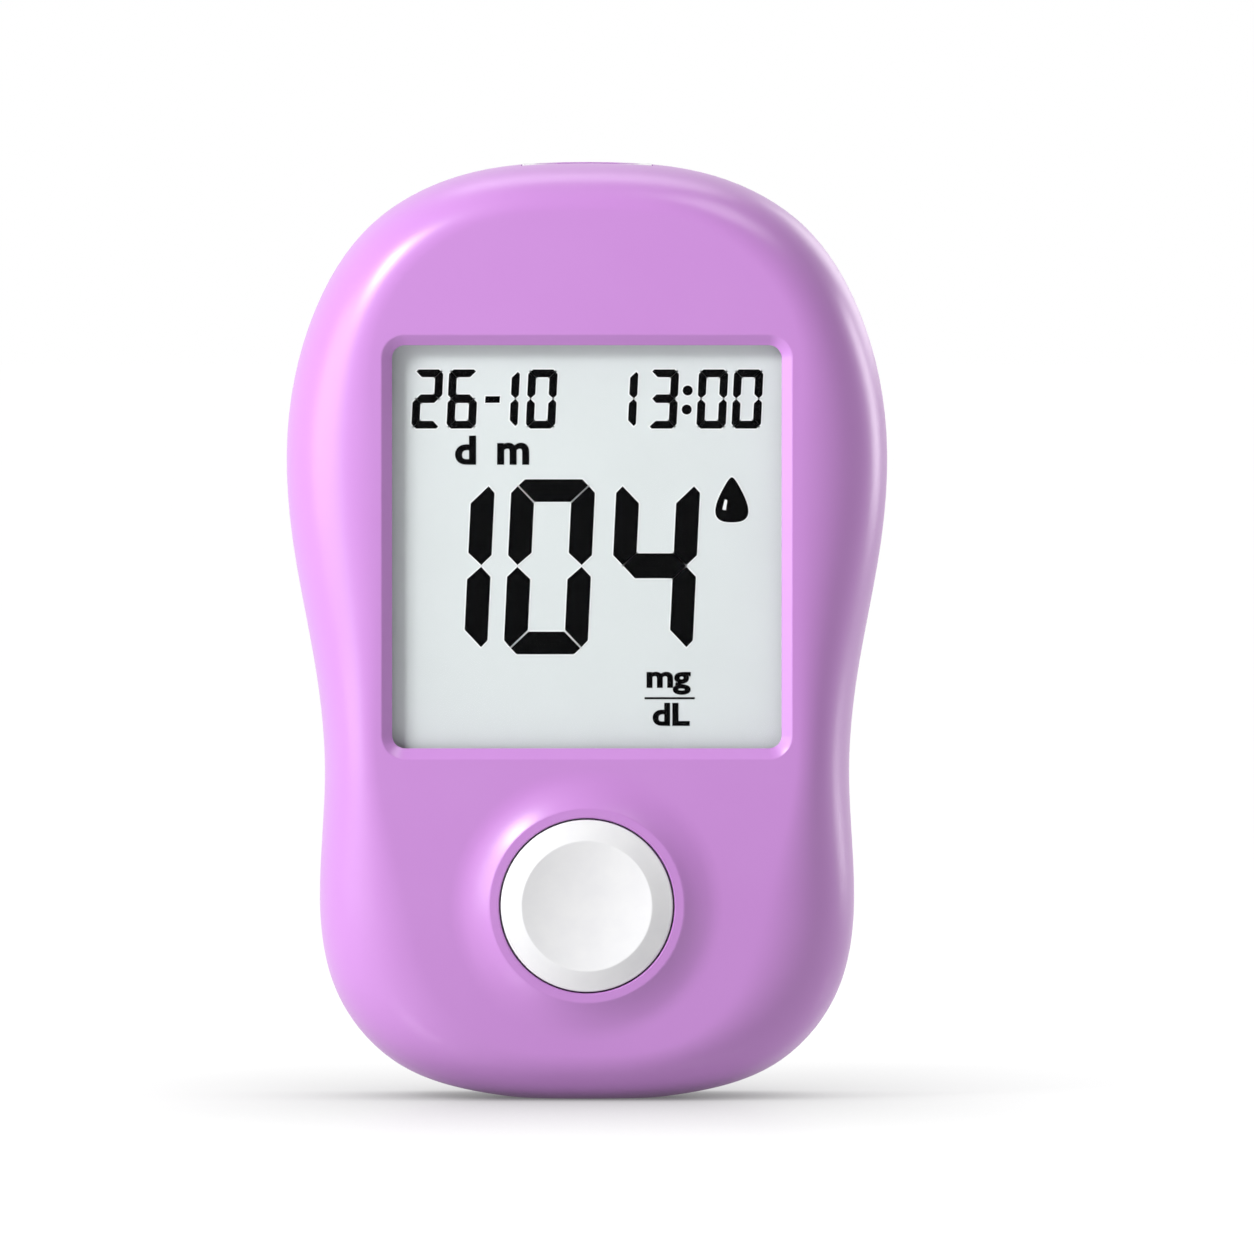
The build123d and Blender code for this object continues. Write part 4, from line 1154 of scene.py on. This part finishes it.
@dataclass
class DisplayStack:
    """What the window shows: the day and month, the time, the reading and its unit."""

    film_y: float = -7.50
    painted_rim_thick: float = 0.02
    bar_thick: float = 0.03
    painted_rim_width: float = 0.12
    large: DigitStyle = DigitStyle(8.36, 17.46, 2.33)
    large_top: float = 62.0
    large_digits: Sequence[tuple[str, float]] = (("1", -17.5), ("0", -7.49), ("4", 2.98))
    small: DigitStyle = DigitStyle(2.93, 5.9, 0.8)
    small_top: float = 72.95
    small_digits: Sequence[tuple[str, float]] = (
        ("2", -17.22), ("6", -13.72), ("1", -9.58), ("0", -5.82),
        ("1", 2.22), ("3", 6.28), ("0", 11.18), ("0", 14.68),
    )
    dash: Sequence[Point] = ((-10.15, 69.62), (-8.7, 69.62), (-8.65, 70.28), (-10.1, 70.28))
    colon: Sequence[Point] = ((10.05, 70.85), (9.95, 68.95))
    colon_radius: float = 0.5
    drop_sign: Sequence[float] = (14.45, 57.7, 62.2, 1.75)
    drop_shine: Sequence[Point] = ((13.5, 59.0), (13.85, 58.9), (14.0, 59.9), (13.75, 60.0))
    shine_thick: float = 0.01
    units: Sequence[tuple[str, str, Sequence[float]]] = (
        ("unit_day", "d", (-13.15, -11.05, 63.45, 66.35)),
        ("unit_month", "m", (-8.95, -5.75, 63.45, 65.65)),
        ("unit_mass", "mg", (5.95, 10.35, 40.5, 42.8)),
        ("unit_volume", "dL", (6.55, 10.25, 37.4, 39.7)),
    )
    unit_bold: float = 0.035
    unit_rule: Sequence[Point] = ((5.75, 40.06), (10.75, 40.06), (10.75, 40.26), (5.75, 40.26))

    def digits(
        self, style: DigitStyle, digits: Sequence[tuple[str, float]], top: float
    ) -> list[list[Point]]:
        """Returns the bars of a row of digits, each given with its left end."""
        return [bar for digit, left in digits for bar in style.outlines(digit, left, top)]

    def show(self, name: str, outlines: Sequence[Sequence[Point]], with_painted_rim: bool) -> None:
        """Puts bars on the film, with a painted highlight, a pale rim, round those that have one.

        Args:
            name: Base name of the pieces.
            outlines: The bars.
            with_painted_rim: Whether a pale rim is painted round each, as a highlight.
        """
        if with_painted_rim:
            # painted highlight: a pale plate a little wider than each bar, laid just behind it
            wide = [grown(outline, self.painted_rim_width) for outline in outlines]
            edge = plates(name + "_edge", wide, self.film_y, self.painted_rim_thick)
            settle(edge, Body.HOUSING, self.pale)
        bars = plates(name, outlines, self.film_y, self.bar_thick)
        settle(bars, Body.HOUSING, self.black)

    def build(self) -> None:
        """Makes the display's pieces and dresses the stack behind the window."""
        self.black = SEGMENT_BLACK.build()
        # the pale colour draws the painted rims round the bars and the drop sign's shine mark
        self.pale = SEGMENT_PAINTED_RIM_AND_PRINT.build()
        self.show("reading_bars", self.digits(self.large, self.large_digits, self.large_top), True)
        small = self.digits(self.small, self.small_digits, self.small_top)
        dots = [circle(dot, self.colon_radius) for dot in self.colon]
        self.show("date_time_bars", [*small, self.dash, *dots], True)
        self.show("drop_sign", [drop(*self.drop_sign)], True)
        front = self.film_y - self.bar_thick
        shine = plates("drop_sign_shine", [self.drop_shine], front, self.shine_thick)
        settle(shine, Body.HOUSING, self.pale)
        for name, text, box in self.units:
            letters = lettering(name, text, box, self.film_y, self.bar_thick, self.unit_bold)
            settle(letters, Body.HOUSING, self.black)
        self.show("unit_bar", [self.unit_rule], False)
        glass = SHEET_GLASS.build()
        dress_nodes(
            {
                "display_window": ACRYLIC.build(),
                "window_tape": FOAM_TAPE.build(),
                "lcd_polariser": POLARISER.build(),
                "lcd_front_glass": glass,
                "lcd_rear_glass": glass,
                "lcd_reflector": REFLECTOR.build(),
                "lcd_holder": HOLDER_ABS.build(),
                "zebra_connector": ZEBRA.build(),
            }
        )


# ---------------------------------------------------------------- board, cells and port
@dataclass
class Electronics:
    """The circuit board and what is soldered to it."""

    chip_half: float = 3.5
    analog_half_x: float = 2.0
    analog_half_z: float = 2.5

    def middle(self, node: str) -> Point:
        """Returns a node's middle across and up, in millimetres."""
        low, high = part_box(node)
        return ((low.x + high.x) / 2 / MM, (low.z + high.z) / 2 / MM)

    def build(self) -> None:
        """Dresses the board and its parts."""
        microcontroller = LeadedChip(
            "epoxy_quad_chip", "#1C1D1F", "#232427", 0.5,
            centre=self.middle("microcontroller"), half_x=self.chip_half, half_z=self.chip_half,
        )
        analog = LeadedChip(
            "epoxy_outline_chip", "#1C1D1F", "#232427", 0.5,
            centre=self.middle("analog_chip"),
            half_x=self.analog_half_x, half_z=self.analog_half_z,
        )
        finishes = {
            "circuit_board": BOARD,
            "microcontroller": microcontroller,
            "analog_chip": analog,
            "crystal": SPRING_STEEL,
            "buzzer": BUZZER_PLASTIC,
            "chip_capacitors": CERAMIC_TAN,
            "chip_resistors": CERAMIC_BLACK,
        }
        dress_nodes({node: finish.build() for node, finish in finishes.items()})


@dataclass
class BatteryBay:
    """The two cells and their contacts."""

    contacts: Sequence[str] = (
        "battery_bridge_contact", "battery_positive_contact", "battery_negative_contact"
    )

    def build(self) -> None:
        """Dresses the cells by which end is up, and the contacts."""
        for node, plus_up in (("battery_cell_left", True), ("battery_cell_right", False)):
            low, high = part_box(node)
            ends = (low.z / MM, high.z / MM) if plus_up else (high.z / MM, low.z / MM)
            jacket = CellJacket(
                node + "_jacket", "#BFC1C3", "#BFC1C3", 0.3, minus_z=ends[0], plus_z=ends[1]
            )
            moulded(node, node + "_sleeved", Body.HOUSING, jacket.build())
        dress_nodes(dict.fromkeys(self.contacts, NICKEL.build()))


class StripPort:
    """The strip port and the connector behind it."""

    def build(self) -> None:
        """Dresses the port, the connector and its contacts."""
        port = PORT_ABS.build()
        moulded("strip_port", "strip_port_moulding", Body.HOUSING, port)
        dress_nodes({"strip_connector": NYLON.build(), "strip_contacts": GOLD.build()})


class Fasteners:
    """The case and board screws."""

    def build(self) -> None:
        """Dresses the screws."""
        dress_nodes(dict.fromkeys(("case_screws", "board_screws"), SPRING_STEEL.build()))


# ---------------------------------------------------------------- studio
@dataclass(frozen=True)
class Lamp:
    """A soft box that looks at the meter: its bearing and its rise in degrees, size and power."""

    name: str
    bearing: float
    rise: float
    width: float
    height: float
    watts: float
    reach: float = 0.45
    aim: Sequence[float] = (0.0, 0.0, 0.047)

    def build(self) -> None:
        """Adds the lamp."""
        light = bpy.data.lights.new(self.name, "AREA")
        light.shape = "RECTANGLE"
        light.size = self.width
        light.size_y = self.height
        light.energy = self.watts
        stand = bpy.data.objects.new(self.name, light)
        turn, tilt = math.radians(self.bearing), math.radians(self.rise)
        level = Vector((math.sin(turn), -math.cos(turn), 0.0)) * math.cos(tilt)
        away = level + Vector((0.0, 0.0, math.sin(tilt)))
        stand.location = Vector(self.aim) + away * self.reach
        stand.rotation_euler = away.to_track_quat("Z", "Y").to_euler()
        bpy.context.scene.collection.objects.link(stand)


@dataclass
class Studio:
    """A white table, soft boxes and a long lens almost level with the meter."""

    aim: Sequence[float] = (0.0040, 0.0, 0.0470)
    elevation: float = 2.0
    distance: float = 2.50
    view_width: float = 0.1254
    sensor: float = 36.0
    floor_size: float = 6.0
    floor_colour: str = "#5A5A5A"
    floor_glow: float = 0.985
    floor_clear: Sequence[float] = (0.05, 0.18)
    floor_bounce: float = 0.78
    # painted contact shadow on the table: ambient occlusion from the meter darkens the table's glow,
    # and a fixed mask fades this shade out to the sides
    contact_shade_reach: float = 0.08
    contact_shade_width: Sequence[float] = (0.024, 0.062)
    contact_shade_least: float = 0.16
    sheen_share: float = 0.16
    sheen_reach: Sequence[float] = (0.012, 0.12)
    sheen_roughness: float = 0.2
    fill_rise: Sequence[float] = (-0.2, 1.0)
    fill_low: float = 0.0
    fill_high: float = 0.05
    lamps: Sequence[Lamp] = (
        Lamp("key_box", -50, 34, 0.12, 0.12, 1.50),
        Lamp("left_wall", -68, 8, 0.36, 0.30, 1.15),
        Lamp("right_back_box", 122, 8, 0.12, 0.20, 0.44),
        Lamp("back_box", 150, 20, 0.16, 0.20, 0.20),
        Lamp("top_back_box", 180, 62, 0.30, 0.16, 0.30),
        Lamp("top_right_box", 60, 62, 0.20, 0.20, 0.42),
    )

    def seen(self, tree: Tree) -> Socket:
        """Returns 1 for rays from the camera, a gloss or a clear sheet, and 0 for others."""
        path = add_node(tree, "LightPath")
        total = maths(tree, "ADD", path.outputs["Is Camera Ray"], path.outputs["Is Glossy Ray"])
        return maths(tree, "ADD", total, path.outputs["Is Transmission Ray"], clamp=True)

    def build(self) -> None:
        """Sets the camera, the lamps, the world and the floor."""
        scene = bpy.context.scene
        scene.view_settings.view_transform = "Standard"
        lens = bpy.data.cameras.new("long_lens")
        lens.sensor_width = self.sensor
        lens.lens = self.sensor * self.distance / self.view_width
        camera = bpy.data.objects.new("camera", lens)
        turn = math.radians(self.elevation)
        aim = Vector(self.aim)
        camera.location = aim + Vector((0, -math.cos(turn), math.sin(turn))) * self.distance
        camera.rotation_euler = (aim - camera.location).to_track_quat("-Z", "Y").to_euler()
        scene.collection.objects.link(camera)
        scene.camera = camera
        for lamp in self.lamps:
            lamp.build()
        self.world(scene)
        self.floor()

    def world(self, scene: bpy.types.Scene) -> None:
        """Makes surroundings that look white and light the meter softly."""
        world = bpy.data.worlds.new("white_room")
        tree = emptied(world)
        ray = add_node(tree, "TexCoord").outputs["Generated"]
        rise = add_node(tree, "SeparateXYZ", {"Vector": ray}).outputs["Z"]
        fill = ranged(tree, rise, self.fill_rise, (self.fill_low, self.fill_high))
        level = ranged(tree, self.seen(tree), end=(fill, 1.0))
        white = add_node(tree, "Background", {"Color": (1, 1, 1, 1), "Strength": level})
        add_node(tree, "OutputWorld", {"Surface": white.outputs["Background"]})
        scene.world = world

    def floor(self) -> None:
        """Lays the table: white where nothing shades it."""
        bpy.ops.object.select_all(action="DESELECT")
        bpy.ops.mesh.primitive_plane_add(size=self.floor_size)
        table = bpy.context.object
        table.name = "table_top"
        material = bpy.data.materials.new("table_white")
        tree = emptied(material)
        place = add_node(tree, "TexCoord").outputs["Object"]
        away = add_node(tree, "VectorMath", {0: place}, operation="LENGTH")
        away = away.outputs["Value"]
        level = ranged(tree, away, self.floor_clear, (self.floor_glow, 1.0), smooth=True)
        # painted contact shadow: ambient occlusion darkens the glow near the meter, and a fixed mask
        # across the table fades it out to the sides; the matt part shows the lamps' real shadows
        across = add_node(tree, "SeparateXYZ", {"Vector": place}).outputs["X"]
        across = maths(tree, "ABSOLUTE", across)
        least = ranged(tree, across, self.contact_shade_width, (self.contact_shade_least, 1.0), smooth=True)
        occlusion_shade = add_node(tree, "AmbientOcclusion", {"Distance": self.contact_shade_reach})
        contact = ranged(tree, occlusion_shade.outputs["AO"], end=(least, 1.0))
        white = maths(tree, "MULTIPLY", self.seen(tree), level)
        diffuse_ray = add_node(tree, "LightPath").outputs["Is Diffuse Ray"]
        strength = maths(tree, "MULTIPLY_ADD", diffuse_ray, self.floor_bounce, white)
        glow = add_node(tree, "Emission", {"Color": contact, "Strength": strength})
        matt = add_node(tree, "BsdfDiffuse", {"Color": linear(self.floor_colour)})
        both = add_node(tree, "AddShader", {0: matt.outputs[0], 1: glow.outputs[0]})
        sheen = ranged(tree, away, self.sheen_reach, (self.sheen_share, 0.0), smooth=True)
        gloss = add_node(tree, "BsdfGlossy", {"Roughness": self.sheen_roughness})
        laid = add_node(tree, "MixShader", {0: sheen, 1: both.outputs[0], 2: gloss.outputs[0]})
        add_node(tree, "OutputMaterial", {"Surface": laid.outputs[0]})
        dress(table, material)
        table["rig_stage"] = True


def main() -> None:
    """Builds the studio and the meter's sub-assemblies, and logs the CAD box and the visual box."""
    logging.basicConfig(level=logging.INFO, format="%(name)s: %(message)s")
    cad_box = [list(corner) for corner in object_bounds()]
    for part in (
        Studio(),
        CaseShells(),
        PushButton(),
        DisplayStack(),
        Electronics(),
        BatteryBay(),
        StripPort(),
        Fasteners(),
    ):
        part.build()
        LOG.info("%s built", type(part).__name__)
    visual_box = [list(corner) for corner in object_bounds()]
    for name, box in (("CAD", cad_box), ("visual", visual_box)):
        LOG.info("%s box: %s", name, box)


if __name__ == "__main__":
    main()
